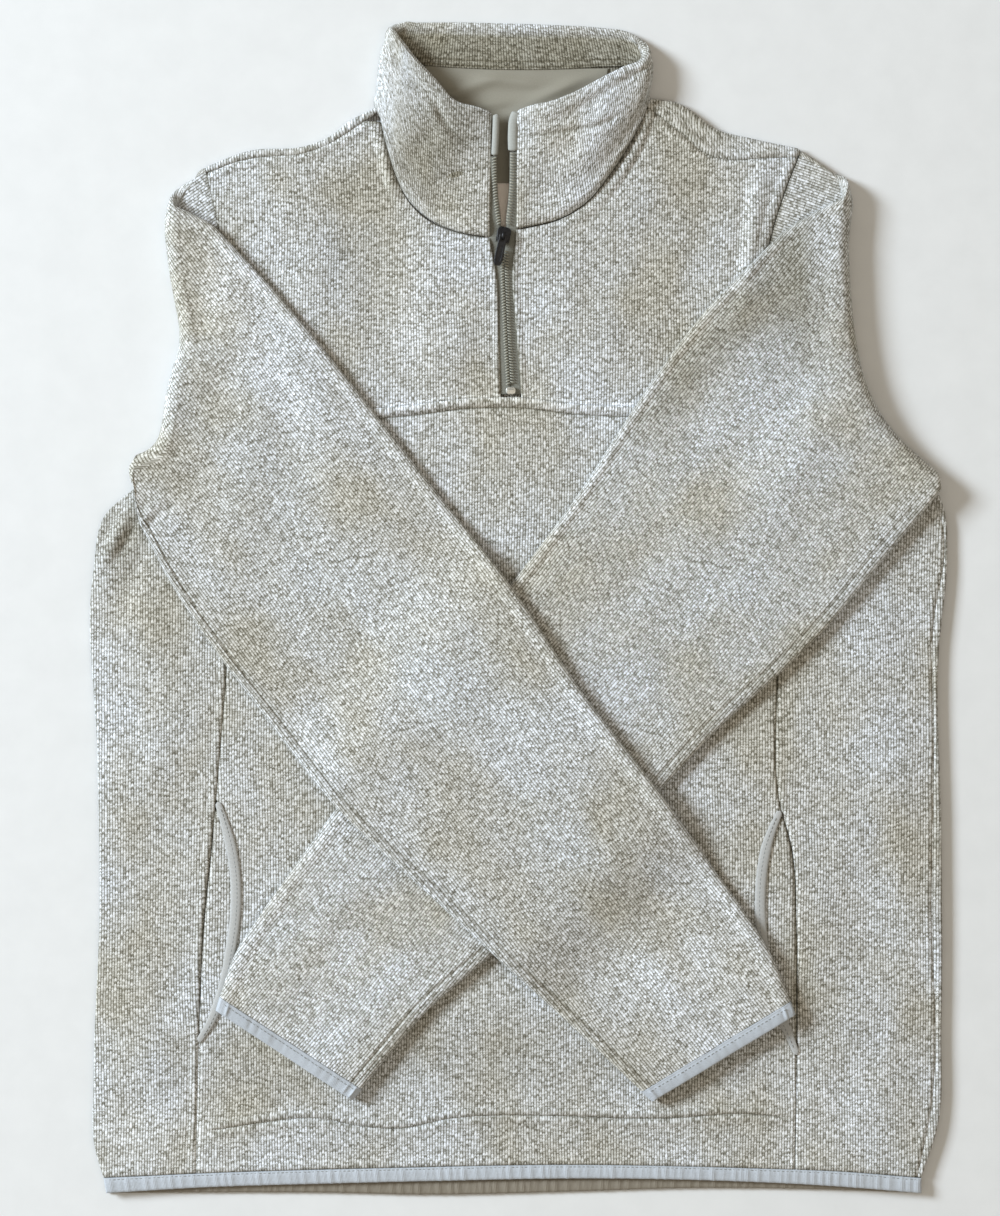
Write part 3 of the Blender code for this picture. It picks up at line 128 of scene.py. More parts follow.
# Collar sections from the left zip edge round the back to the right one. Columns: the neck seam's x, y and
# level (1 on the front, 0 on the back), then the top edge's x, y and the height of its middle.
COLLAR = (
    (-20.7, 652.1, 1.0, -19.6, 735.8, 15.5),
    (-31.6, 653.5, 1.0, -28.9, 740.5, 18.0),
    (-46.6, 656.9, 1.0, -41.0, 745.5, 20.0),
    (-62.9, 664.4, 1.0, -54.7, 760.2, 20.5),
    (-77.9, 680.0, 1.0, -68.3, 773.8, 19.0),
    (-88.1, 711.3, 1.0, -77.9, 784.7, 16.5),
    (-92.8, 729.5, 1.0, -83.6, 790.6, 14.0),
    (-97.0, 737.5, 0.82, -86.4, 792.6, 10.4),
    (-98.6, 741.8, 0.42, -84.6, 794.6, 6.2),
    (-95.0, 744.2, 0.1, -79.6, 796.6, 2.9),
    (-81.9, 745.0, 0.0, -71.8, 797.4, 1.5),
    (-47.9, 741.2, 0.0, -44.5, 797.4, 1.3),
    (-7.1, 739.2, 0.0, -10.5, 796.6, 1.3),
    (33.7, 741.2, 0.0, 26.9, 795.4, 1.3),
    (64.3, 746.0, 0.0, 56.1, 793.6, 1.5),
    (78.5, 747.6, 0.1, 74.5, 790.6, 2.9),
    (83.6, 746.8, 0.42, 82.4, 785.4, 6.2),
    (84.4, 743.0, 0.82, 85.2, 779.3, 10.4),
    (81.6, 737.2, 1.0, 82.0, 773.2, 14.0),
    (75.1, 719.4, 1.0, 69.0, 767.7, 16.5),
    (61.5, 696.3, 1.0, 52.7, 759.6, 19.0),
    (43.9, 675.2, 1.0, 35.0, 750.0, 20.5),
    (24.1, 663.7, 1.0, 18.7, 742.6, 20.0),
    (7.8, 659.6, 1.0, 7.8, 739.2, 18.0),
    (-3.1, 657.6, 1.0, -2.4, 735.8, 15.5),
)
COLLAR_BULGE = 2.4
SIDE_BULGE = 3.0  # how far the collar's sides swell out
COLLAR_FRONT = 7  # sections on each front
NECK_RISE = 3.4
NECK_CENTRE = (-10, 695)
NECK_REACH = 88.0

# The largest folds of the front. Columns: x, y, heading in degrees from X, half length, half width, rise.
FRONT_FOLDS = (
    (158, 652, 80, 60, 12, 1.7),
    (122, 655, 74, 55, 13, -0.8),
    (-150, 640, 100, 70, 22, 1.1),
    (60, 610, 60, 60, 20, 0.8),
    (-90, 600, 115, 60, 24, -0.6),
    (-250, 380, 88, 90, 16, 1.1),
    (-245, 230, 92, 70, 15, -0.6),
    (245, 330, 96, 90, 18, 1.0),
    (-20, 120, 4, 130, 20, 0.9),
    (-60, 52, 2, 150, 11, 1.3),
    (110, 54, 3, 80, 10, 1.1),
    (230, 160, 84, 90, 20, -0.6),
    (-255, 110, 95, 60, 18, 0.9),
    (240, 60, 60, 40, 20, 0.9),
)
SLEEVE_FOLDS = (
    (-190, 480, 80, 70, 16, 1.7),
    (-160, 520, 100, 60, 14, -0.9),
    (-215, 560, 60, 40, 14, 1.4),
    (-60, 330, 40, 70, 18, 1.3),
    (-30, 250, -50, 70, 22, 1.5),
    (40, 200, -40, 60, 16, -0.8),
    (90, 150, -60, 40, 16, 1.3),
    (180, 480, 60, 70, 18, 1.7),
    (215, 560, 100, 60, 16, 1.3),
    (140, 420, 45, 60, 14, -0.9),
    (110, 470, 130, 50, 16, 1.3),
    (-150, 160, 40, 50, 16, 1.2),
    (-80, 190, 50, 50, 14, -0.7),
)
OVER_POCKET = ((167, 150, 100, 62, 26, 2.3),)

# Smaller creases that only the looks have, with the same columns.
FRONT_CREASES = (
    (-175, 600, 75, 60, 20, -1.0),
    (-140, 560, 120, 50, 18, 1.2),
    (-30, 560, 60, 50, 18, -0.7),
    (110, 560, 110, 55, 18, -0.9),
    (25, 625, 100, 44, 14, 0.8),
    (-245, 300, 60, 60, 20, 1.4),
    (-255, 190, 110, 60, 18, -1.0),
    (-235, 110, 50, 55, 18, 1.2),
    (235, 260, 60, 60, 20, 1.2),
    (250, 170, 110, 60, 20, -1.0),
    (225, 110, 60, 50, 16, 0.9),
    (-130, 120, 30, 60, 20, -0.8),
    (30, 105, 150, 70, 20, 0.9),
    (-94, 612, 102, 60, 22, -1.5),
    (-60, 575, 112, 50, 16, 0.7),
    (-125, 690, 170, 30, 9, 0.7),
    (60, 585, 60, 56, 14, 0.8),
    (100, 690, 20, 30, 9, 0.6),
    (86, 640, 62, 50, 12, -0.9),
    (-168, 655, 62, 34, 5, 0.5),
    (-120, 640, 80, 46, 9, -0.5),
    (-62, 620, 96, 40, 9, 0.6),
    (-40, 585, 84, 36, 7, 0.5),
    (-27, 600, 95, 45, 5, -0.4),
    (30, 600, 82, 44, 8, 0.5),
    (70, 640, 50, 40, 8, -0.5),
    (95, 600, 66, 42, 8, 0.5),
    (158, 655, 83, 42, 5, 1.7),
    (149, 650, 83, 38, 4.5, -1.2),
    (-30, 505, 10, 60, 10, 0.4),
    (20, 480, 80, 40, 12, 0.4),
    (-276, 446, 62, 21, 4.4, 3.0),
    (-266, 448, 56, 22, 3.8, -2.6),
    (-258, 455, 50, 20, 4.2, 2.8),
    (-250, 459, 44, 16, 3.6, -2.2),
    (-262, 425, 70, 26, 6.0, -1.2),
    (-280, 424, 72, 22, 5, 1.0),
    (-240, 330, 80, 50, 10, 0.5),
    (-262, 300, 96, 46, 8, -0.4),
    (-250, 170, 84, 60, 12, 0.5),
    (-230, 60, 60, 36, 10, 0.5),
    (-265, 60, 75, 30, 8, -0.4),
    (-120, 95, 8, 60, 9, 0.5),
    (-40, 92, -6, 60, 8, -0.4),
    (60, 88, 4, 60, 9, 0.45),
    (140, 92, -4, 40, 8, 0.4),
    (-150, 36, 3, 50, 5, 0.4),
    (20, 38, -2, 70, 5, 0.4),
    (215, 420, 100, 50, 12, 0.5),
    (262, 400, 84, 44, 8, -0.5),
    (220, 300, 78, 60, 14, 0.5),
    (258, 240, 92, 60, 10, 0.5),
    (225, 200, 96, 50, 10, -0.4),
    (250, 100, 70, 44, 10, 0.5),
    (222, 60, 84, 36, 8, -0.4),
)
SLEEVE_CREASES = (
    (-185, 560, -70, 70, 16, 1.3),
    (-165, 500, -50, 60, 16, -1.1),
    (-110, 470, -60, 70, 16, 0.9),
    (-120, 350, -40, 60, 18, -0.9),
    (-20, 330, -70, 60, 18, -0.9),
    (30, 210, -30, 50, 16, 1.0),
    (100, 200, -60, 50, 14, -0.8),
    (195, 570, 70, 60, 16, -1.2),
    (150, 470, 40, 60, 16, 1.0),
    (100, 350, 60, 60, 18, -0.9),
    (-120, 170, 50, 50, 16, -0.9),
    (-205, 600, 66, 40, 7, 0.8),
    (-222, 640, 84, 26, 6, 0.6),
    (-200, 560, 50, 30, 6, -0.6),
    (-222, 505, 30, 26, 6, 0.7),
    (-226, 486, 24, 24, 5, -0.6),
    (-150, 470, -52, 60, 9, 0.5),
    (-120, 420, -44, 60, 9, -0.5),
    (-150, 400, -55, 50, 8, 0.6),
    (-90, 380, -50, 56, 9, 0.5),
    (-50, 300, -56, 60, 9, -0.5),
    (-10, 300, -48, 56, 9, 0.6),
    (20, 260, -52, 60, 8, 0.5),
    (60, 200, -44, 44, 8, 0.6),
    (110, 170, -60, 40, 7, -0.5),
    (120, 110, -55, 36, 8, 0.6),
    (200, 620, 96, 40, 7, 0.8),
    (212, 590, 84, 36, 6, -0.6),
    (225, 520, 130, 30, 7, 0.7),
    (190, 500, 62, 50, 8, 0.6),
    (160, 520, 56, 50, 8, -0.5),
    (170, 440, 48, 50, 8, 0.6),
    (120, 400, 52, 50, 8, 0.5),
    (90, 440, 58, 44, 8, -0.5),
    (70, 380, 44, 44, 8, 0.5),
    (-120, 200, 54, 40, 8, 0.5),
    (-150, 130, 60, 36, 7, -0.4),
    (-110, 120, 46, 36, 7, 0.5),
)

# Painted shade where the knit is drawn darker, and painted highlight where it is drawn lighter, as the last column
# is below 0.
FRONT_PAINTED_LIGHT = (
    (-40, 92, 3, 190, 34, 0.24),
    (-264, 455, 66, 30, 12, 0.6),
    (-284, 448, 84, 24, 7, 0.45),
    (-112, 668, 90, 52, 36, 0.26),
    (112, 672, 90, 40, 34, 0.14),
    (-250, 420, 88, 60, 24, 0.16),
    (-256, 44, 10, 40, 22, -0.3),
    (-66, 604, 78, 46, 26, -0.22),
    (-262, 400, 80, 20, 14, -0.25),
    (214, 50, 60, 44, 30, -0.15),
)
SLEEVE_PAINTED_LIGHT = (
    (206, 624, 100, 64, 44, 0.98),
    (122, 566, 48, 72, 15, 0.6),
    (228, 668, 90, 26, 14, 0.3),
    (-204, 612, 70, 52, 34, -0.45),
    (-170, 560, 128, 70, 10, -0.3),
    (108, 150, 136, 44, 30, -0.32),
    (-128, 152, 40, 46, 28, -0.3),
    (150, 500, 48, 70, 26, -0.12),
)
COLLAR_PAINTED_LIGHT = (
    (-58, 712, 64, 44, 30, 0.72),
    (-70, 762, 52, 26, 16, 0.2),
    (44, 716, 52, 40, 18, -0.3),
    (-88, 752, 80, 24, 8, -0.25),
)

# Seam and stitch lines on the front. Columns: x, y.
HEM_RIDGE = (
    (-218, 46), (-182, 52), (-139, 56), (-108, 50.5), (-83, 49), (-50, 55.5),
    (27, 57.5), (67, 56), (102, 56), (148, 59), (187, 56),
)
SIDE_STITCH = ((281, 474), (287.5, 455), (288.5, 440), (281, 393), (281, 307), (279.5, 200), (279.5, 60), (270, 14))
COLLAR_CREASE_LEFT = ((-58, 742), (-52.7, 730), (-44, 719.5), (-19.5, 716.5))
COLLAR_CREASE_RIGHT = ((1.7, 719.4), (28, 722), (57.5, 729), (66, 734))
COLLAR_LOW_CREASE = ((-26, 700), (-44, 694), (-60, 690))

# Zip, in millimetres
COIL_WALL = 2.0
ZIP_FOOT = 545.2
ZIP_HEAD = {"left": 706, "right": 709}
ZIP_SPLIT = (650, 664)
SPINE = ((-6.4, 543.8), (-6.9, 552.5), (-8.8, 585), (-10.4, 620), (-11.4, 650))
COLLAR_EDGE = {"left": (-20.2, 733.0), "right": (-2.2, 733.0)}
TAPE_OUTSET = 0.55
TAPE_MEET = 0.35
TAPE_DROP = 0.4
TEETH_LIFT = 0.4
COIL_PITCH = 1.9
CHAIN = ((-11.2, 643.0), (-10.4, 620.0), (-8.8, 585.0), (-6.9, 552.5))
TEETH_LEFT = ((-17.9, 705.5), (-17.2, 681), (-14.6, 660))
TEETH_RIGHT = ((-5.4, 708.5), (-5.9, 684), (-8.4, 660))
GARAGE_LEFT = ((-16.4, 734.5), (-16.9, 721), (-17.6, 706.4))
GARAGE_RIGHT = ((-2.4, 736.0), (-4.4, 731), (-5.2, 722), (-5.1, 709.4))
STOP_AT = (-6.6, 547.6)
SLIDER_AT = (-11.6, 652.5)
SLIDER_TOP = 13.19
TAB_AXIS_RISE = 1.3
TAB_SWING = math.radians(-12)
TAB_DIP = math.radians(4.5)
TAB_LENGTH = 21.0

# Knit, in millimetres
WALE = 1.85  # width of a column of stitches
COURSE = 1.6  # height of a row
# The seams' darkening is partly their own dark line and partly painted shade in their grooves and under edges;
# below 0 it lightens into a painted highlight.
SEAM_SHADE = 1.5  # how far the dark of a seam reaches
SEAM_LINE_AND_SHADE_TONE = (0.42, 0.39, 0.31)  # what the knit's colour is multiplied by in a seam
# Painted shade: the knit's colour is multiplied by this inside the collar and where the painted light tables darken
# it; below 0 it is lightened into a bluish painted highlight.
PAINTED_SHADE_TONE = (0.52, 0.485, 0.395)  # what the knit's colour is multiplied by inside the collar


def scene_point(points):
    """Table millimetres to scene metres."""
    return (np.asarray(points, float) - np.array([*MIDDLE, 0])) * 0.001


# Curves and sheets


def shares_of(points):
    """Each point's share of the length of the line through them."""
    lengths = np.linalg.norm(np.diff(points, axis=0), axis=1)
    return np.concatenate([[0], np.cumsum(lengths)]) / lengths.sum()


def read(points, known, share):
    """Places on a line of points whose own shares are known."""
    return np.stack([np.interp(share, known, column) for column in points.T], axis=-1)


def along_line(points, share):
    """Places on a line of points, at shares of its length, with its corners kept."""
    return read(points, shares_of(points), share)


class Path:
    """A smooth curve through the rows of a table, read by the share of its length."""

    def __init__(self, rows, per_row=12):
        knots = np.array(rows, float)
        steps = np.linalg.norm(np.diff(knots, axis=0), axis=1)
        slopes = np.diff(knots, axis=0) / steps[:, None]
        inner = slopes[:-1] * steps[1:, None] + slopes[1:] * steps[:-1, None]
        inner /= (steps[1:] + steps[:-1])[:, None]
        tangents = np.concatenate([slopes[:1], inner, slopes[-1:]])
        t = np.linspace(0, 1, per_row, endpoint=False)[:, None]
        pieces = [
            (2 * t**3 - 3 * t**2 + 1) * start + (t**3 - 2 * t**2 + t) * step * first
            + (3 * t**2 - 2 * t**3) * end + (t**3 - t**2) * step * last
            for start, end, first, last, step in zip(knots[:-1], knots[1:], tangents[:-1], tangents[1:], steps)
        ]
        self.points = np.concatenate(pieces + [knots[-1:]])
        self.shares = shares_of(self.points)

    def at(self, share):
        return read(self.points, self.shares, share)

    def offset(self, distance):
        """The same curve moved to its left by a distance."""
        ahead = unit(np.gradient(self.points, axis=0))
        moved = self.points + distance * np.stack([-ahead[:, 1], ahead[:, 0]], axis=-1)
        return Path(moved[::6], 6)

    def near(self, x, y, every=3):
        """The distance to the curve, positive on its left, and the share of it that is nearest."""
        return from_line(self.points[::every], x, y)


def fine(length, step, edge=(0.3, 0.8, 1.5)):
    """Shares of a length for rows about a step apart, and closer ones at both ends."""
    last = edge[-1]
    count = max(int(round((length - 2 * last) / step)), 2)
    middle = np.linspace(last, length - last, count + 1)
    near = np.array((0.0,) + edge[:-1])
    return np.concatenate([near, middle, length - near[::-1]]) / length


def graded(length, step, *zones):
    """Shares of a length for rows a step apart, and closer ones in zones of (from, to, step)."""
    places = [0.0]
    while places[-1] < length:
        here = places[-1]
        size = step
        for low, high, small in zones:
            if low <= here < high:
                size = min(size, small)
            elif here < low < here + size:
                size = max(low - here, 0.2)
        places.append(here + size)
    if length - places[-2] < 0.25 * (places[-1] - places[-2]):
        places.pop(-2)
    places[-1] = length
    return np.array(places) / length


def rim(length, step, *zones):
    """The same, with the rows at both ends that a rounded edge needs."""
    ends = ((0, 0.6, 0.3), (0.6, 2.0, 0.7), (length - 2, length - 0.6, 0.7), (length - 0.6, length, 0.3))
    return graded(length, step, *ends, *zones)


def coons(bottom, top, left, right, u, v):
    """The sheet between four rows of points. Bottom and top run left to right, left and right run upwards."""
    s = u[None, :, None]
    t = v[:, None, None]
    across = (1 - t) * bottom[None] + t * top[None]
    along = (1 - s) * left[:, None] + s * right[:, None]
    corners = (1 - t) * ((1 - s) * bottom[0] + s * bottom[-1]) + t * ((1 - s) * top[0] + s * top[-1])
    return across + along - corners


def between(first, last, share):
    """The sheet between two rows of points, with a row at each share of the way."""
    share = share[:, None, None]
    return first[None] * (1 - share) + last[None] * share


def raised(flat, height):
    """Flat points with a height at each."""
    return np.concatenate([flat, np.broadcast_to(height, flat.shape[:-1])[..., None]], axis=-1)


UP = np.array([0.0, 0.0, 1.0])


def unit(vectors):
    return vectors / np.maximum(np.linalg.norm(vectors, axis=-1, keepdims=True), 1e-9)


def smooth_step(value, low, high):
    share = np.clip((value - low) / (high - low), 0, 1)
    return share**2 * (3 - 2 * share)


def inset(points, gap=SEAM_INSET):
    """A sheet with its edges drawn in, which leaves a gap at its seams."""
    moved = points.copy()
    moved[0] += gap * unit(points[1] - points[0])
    moved[-1] += gap * unit(points[-2] - points[-1])
    moved[:, 0] += gap * unit(points[:, 1] - points[:, 0])
    moved[:, -1] += gap * unit(points[:, -2] - points[:, -1])
    return moved


def normals_of(points):
    """The upward or outward direction at each point of a sheet."""
    return unit(np.cross(np.gradient(points, axis=1), np.gradient(points, axis=0)))


def running(points, axis):
    """The distance of each point from its first one, along the rows or the columns of a sheet."""
    steps = np.linalg.norm(np.diff(points, axis=axis), axis=-1)
    start = np.zeros_like(np.take(steps, [0], axis=axis))
    return np.concatenate([start, np.cumsum(steps, axis=axis)], axis=axis)


def border_distance(points):
    """How far each point of a sheet is from its nearest edge."""
    across = running(points, 1)
    along = running(points, 0)
    sides = np.minimum(across, across[:, -1:] - across)
    return np.minimum(sides, np.minimum(along, along[-1:] - along))


def to_segment(start, edge, x, y):
    """The distance to a straight edge, and the part of it that is nearest."""
    part = np.clip(((x - start[0]) * edge[0] + (y - start[1]) * edge[1]) / (edge @ edge), 0, 1)
    return np.hypot(x - start[0] - part * edge[0], y - start[1] - part * edge[1]), part


def from_line(line, x, y):
    """The distance to a line of points, positive on its left, and the share of the line that is nearest."""
    nearest = np.full(np.shape(x), 1e9)
    side = np.ones(np.shape(x))
    share = np.zeros(np.shape(x))
    known = shares_of(line)
    for start, edge, low, high in zip(line[:-1], np.diff(line, axis=0), known[:-1], known[1:]):
        away, part = to_segment(start, edge, x, y)
        closer = away < nearest
        nearest = np.where(closer, away, nearest)
        side = np.where(closer, np.sign(edge[0] * (y - start[1]) - edge[1] * (x - start[0])), side)
        share = np.where(closer, low + part * (high - low), share)
    return nearest * np.where(side == 0, 1, side), share


def outside_distance(outline, x, y):
    """How far a place is outside a closed outline: 0 on it and inside."""
    nearest = np.full(np.shape(x), np.inf)
    inside = np.zeros(np.shape(x), bool)
    for start, end in zip(outline, np.roll(outline, -1, axis=0)):
        edge = end - start
        nearest = np.minimum(nearest, to_segment(start, edge, x, y)[0])
        crosses = (start[1] > y) != (end[1] > y)
        height = edge[1] if abs(edge[1]) > 1e-9 else 1e-9
        inside ^= crosses & (x < start[0] + (y - start[1]) * edge[0] / height)
    return np.where(inside, 0, nearest)


# Heights


def folds(table, x, y):
    """The sum of soft ridges and troughs at a place."""
    total = np.zeros_like(x, dtype=float)
    for fold_x, fold_y, heading, half_length, half_width, rise in table:
        turn = math.radians(heading)
        along = (x - fold_x) * math.cos(turn) + (y - fold_y) * math.sin(turn)
        across = (y - fold_y) * math.cos(turn) - (x - fold_x) * math.sin(turn)
        total += rise * np.exp(-((along / half_length) ** 2) - (across / half_width) ** 2)
    return total


def front_mid(x, y):
    """The height of the middle of the front's cloth in the solids."""
    from_neck = np.hypot(x - NECK_CENTRE[0], y - NECK_CENTRE[1])
    return FRONT_MID + folds(FRONT_FOLDS, x, y) + NECK_RISE * np.exp(-((from_neck / NECK_REACH) ** 2))


def front_level(x, y):
    """The same with the smaller creases."""
    return front_mid(x, y) + folds(FRONT_CREASES, x, y)


def on_front(line, lift):
    """A flat line of points laid on the front, and lifted from the middle of its cloth."""
    return raised(line, front_level(line[..., 0], line[..., 1]) + lift)


def under_right_sleeve(x, y):
    return front_level(x, y) + WALL / 2


def under_left_sleeve(x, y):
    """What the left sleeve lies on: the front, and the right sleeve where they cross."""
    upper = Path(SLEEVE_RIGHT_UPPER).at(np.linspace(0, 1, 30))
    lower = Path(SLEEVE_RIGHT_LOWER).at(np.linspace(1, 0, 30))
    away = outside_distance(np.concatenate([upper, lower]), x, y)
    near = 1 - smooth_step(away - BRIDGE_LEVEL, 0, BRIDGE_REACH)
    sleeve = 2 * SLEEVE_HALF + LAYER_GAP + CROSSING_SPACE
    return under_right_sleeve(x, y) + sleeve * near + folds(OVER_POCKET, x, y)


# Seams of the front, worked out once

ARM = {"left": Path(ARMHOLE_LEFT), "right": Path(ARMHOLE_RIGHT)}
JUNCTION = {"left": 0.31, "right": 0.36}  # share of each armhole that is below the chest seam
END_LEFT, END_RIGHT = (tuple(ARM[side].at(JUNCTION[side])) for side in ARM)
CHEST = {"left": Path((END_LEFT,) + CHEST_LEFT), "right": Path(CHEST_RIGHT + (END_RIGHT,))}
SEAM = {"left": Path(PRINCESS_LEFT + (END_LEFT,)), "right": Path(PRINCESS_RIGHT + (END_RIGHT,))}
NECK = {
    "left": Path(np.array(COLLAR)[COLLAR_FRONT - 1 :: -1, :2]), "right": Path(np.array(COLLAR)[-COLLAR_FRONT:, :2]),
}
SHOULDER = {"left": Path(SHOULDER_LEFT), "right": Path(SHOULDER_RIGHT)}
ZIP_EDGE = {"left": Path(ZIP_LEFT), "right": Path(ZIP_RIGHT)}
POCKET = {"left": POCKET_LEFT, "right": POCKET_RIGHT}

# What sewing leaves beside a seam. Columns: distance from the seam, width, rise.
CHEST_MARKS = ((-2.4, 2.6, 2.6), (2.4, 1.6, -0.5), (-6.6, 1.3, -1.1))
SEAM_MARKS = ((0, 1.1, -1.2), (3.0, 2.0, 0.25), (6.0, 0.8, -0.22))
NECK_MARKS = ((0, 2.2, -2.2), (6.0, 2.6, 1.5), (10.6, 1.5, -0.6))
HEM_MARKS = ((0, 1.3, 1.3), (-3.2, 1.2, -1.1), (-6.2, 1.6, 0.9))
SIDE_MARKS = ((0, 0.9, -1.0), (-2.4, 1.4, 0.45))
EDGE_MARKS = ((0, 1.2, -0.8), (3.4, 2.0, 0.45))
SHOULDER_MARKS = ((0, 1.6, -1.2), (3.6, 2.0, 0.6), (6.8, 1.4, -0.2))
ARM_MARKS = ((0, 1.2, -1.1), (4.2, 2.2, 0.7), (7.8, 1.2, -0.25))
ZIP_MARKS = ((2.4, 1.5, 0.5), (5.4, 0.9, -0.5))
CREASE_MARKS = ((0, 1.5, -1.3), (-4.0, 2.6, 0.6), (4.2, 2.6, 0.8))  # of the collar
UNDERARM_MARKS = ((0.8, 1.1, -0.7), (4.6, 1.0, -1.0), (2.7, 1.0, 0.5), (7.0, 1.5, 0.4))
UPPER_MARKS = ((9.0, 3.5, -0.5), (3.0, 3.0, 0.3))  # of a sleeve's upper edge


def ridge(distance, centre, width, rise):
    return rise * np.exp(-(((distance - centre) / width) ** 2))


def marks(distance, table):
    """The sum of the ridges and grooves in a table of them."""
    return sum(ridge(distance, *row) for row in table)


def faint_seam(x, y):
    """How much lighter the princess seams are towards the hem, where their painted shade is taken off."""
    right = ridge(SEAM["right"].near(x, y, 4)[0], 0, 2.4, -0.9) * (1 - smooth_step(y, 215, 275))
    return right + ridge(SEAM["left"].near(x, y, 4)[0], 0, 2.4, -0.65) * (1 - smooth_step(y, 60, 150))


def seam_relief(x, y):
    """Grooves and ridges that the sewing leaves in the front."""
    chest = np.concatenate([line.points[::3] for line in CHEST.values()])
    relief = marks(from_line(chest, x, y)[0], CHEST_MARKS)
    relief += marks(SEAM["left"].near(x, y, 4)[0], SEAM_MARKS)
    faded = 0.3 + 0.7 * smooth_step(y, 215, 275)
    relief += 0.8 * faded * marks(-SEAM["right"].near(x, y, 4)[0], SEAM_MARKS)
    away, share = Path(HEM_RIDGE).near(x, y)
    relief += smooth_step(share, 0.0, 0.04) * (1 - smooth_step(share, 0.96, 1.0)) * marks(away, HEM_MARKS)
    relief += marks(Path(SIDE_STITCH).near(x, y)[0], SIDE_MARKS)
    relief += marks(Path(HEM_FRONT).near(x, y)[0], EDGE_MARKS)
    on_neck = 0.3 + 0.7 * smooth_step(y, 668, 706)
    for lines, every, deep, table in (
        (NECK, 3, (on_neck, on_neck), NECK_MARKS), (SHOULDER, 3, (1.0, 1.15), SHOULDER_MARKS),
        (ARM, 4, (0.25, 1.0), ARM_MARKS), (ZIP_EDGE, 3, (1.0, 1.0), ZIP_MARKS),
    ):
        for line, strength in zip(lines.values(), deep):
            relief += strength * marks(np.abs(line.near(x, y, every)[0]), table)
    return relief


# Solids

# Looks whose slot is another look's
SLOTS = dict.fromkeys(("pale_garage", "grey_pocket_tape", "hem_binding_painted_shade"), "pale_grey_binding")
SLOTS["grey_thread"] = "heather_knit"


def link(name, data):
    """An object in the scene."""
    made = bpy.data.objects.new(name, data)
    bpy.context.scene.collection.objects.link(made)
    return made


def outward_mesh(name, points, faces, uv=None):
    """A mesh whose faces look outwards. The first corners have knit coordinates, and the others 0."""
    mesh = bpy.data.meshes.new(name)
    mesh.from_pydata(points.tolist(), [], faces)
    if uv is not None:
        known = np.zeros((len(mesh.loops), 2), np.float32)
        known[: len(uv)] = uv
        mesh.uv_layers.new(name="knit").data.foreach_set("uv", known.ravel())
    made = bmesh.new()
    made.from_mesh(mesh)
    bmesh.ops.recalc_face_normals(made, faces=made.faces)
    made.to_mesh(mesh)
    made.free()
    return mesh


def closed_mesh(name, points, faces, look, uv=((0, 0),), body=GARMENT, hides=()):
    """An object from points and knit coordinates in table millimetres, in place of the nodes that it hides."""
    mesh = outward_mesh(name, scene_point(points), faces, uv)
    mesh.shade_smooth()
    mesh.set_sharp_from_angle(angle=math.radians(60))
    mesh.materials.append(look)
    made = link(name, mesh)
    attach(made, body)
    if hides:
        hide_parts(*hides)
    return made


def shell(name, outer, inner, u, v, look, ring=False, **how):
    """A closed wall between two sheets of points. On a ring the knit coordinates have one more column."""
    rows, columns = outer.shape[:2]
    points = np.concatenate([outer.reshape(-1, 3), inner.reshape(-1, 3)])
    behind = rows * columns
    last = columns if ring else columns - 1
    i, j = np.meshgrid(np.arange(rows - 1), np.arange(last), indexing="ij")
    top = 0 * j[0]
    rims = [np.stack([top, j[0], top, j[0] + 1]), np.stack([top + rows - 1, j[0] + 1, top + rows - 1, j[0]])]
    if not ring:
        down = np.arange(rows - 1)
        rims.append(np.stack([down + 1, 0 * down, down, 0 * down]))
        rims.append(np.stack([down, 0 * down + columns - 1, down + 1, 0 * down + columns - 1]))
    row_a, column_a, row_b, column_b = np.concatenate(rims, axis=1)
    near, far = (row_a, column_a), (row_b, column_b)

    def corner(row, column):
        return row * columns + column % columns

    def knit(*places):
        return np.stack([np.stack([u[place], v[place]], axis=-1) for place in places], axis=-2)

    around = ((i, j), (i, j + 1), (i + 1, j + 1), (i + 1, j))
    quads = np.stack([corner(*place) for place in around], axis=-1).reshape(-1, 4)
    quads_knit = knit(*around).reshape(-1, 4, 2)
    first, second = corner(*near), corner(*far)
    edge = np.stack([second, first, behind + first, behind + second], axis=-1)
    faces = np.concatenate([quads, (behind + quads)[:, ::-1], edge]).tolist()
    uv = np.concatenate([quads_knit, quads_knit[:, ::-1], knit(far, near, near, far)]).reshape(-1, 2)
    return closed_mesh(name, points, faces, look, uv, **how)


def rounded(distance, radius, least=0.12):
    """A share of a cloth's thickness that falls off in a quarter circle towards its edge."""
    inward = 1 - np.clip(distance / radius, 0, 1)
    return np.maximum(np.sqrt(1 - inward**2), least)


def shade(made, name, values, low):
    """A value from low to 1 at each point of a wall's outer side and inner side, which the material reads."""
    values = np.clip(values, low, 1).ravel()
    values = np.tile(values, len(made.data.vertices) // len(values))
    made.data.attributes.new(name, "FLOAT", "POINT").data.foreach_set("value", values.astype(np.float32))


def cloth(name, middle, look, knit=None, thickness=WALL, gap=SEAM_INSET, edge=1.3, dark=0.0, painted_light=(), hides=()):
    """Cloth on both sides of a sheet of points, with round edges. Dark adds to the painted shade in its seams,
    which also stands for their own dark line, and a table of painted light darkens or lightens it by place.
    """
    u, v = knit or (middle[..., 0], middle[..., 1])
    sheet = inset(middle, gap)
    border = border_distance(sheet)
    half = normals_of(sheet) * (thickness / 2 * rounded(border, edge))[..., None]
    made = shell(name, sheet + half, sheet - half, u, v, look, hides=hides)
    shade(made, "seam", ridge(border, 0, SEAM_SHADE, 1) + dark, -0.3)
    if painted_light:
        shade(made, "inside", folds(painted_light, sheet[..., 0], sheet[..., 1]), -0.6)
    return made


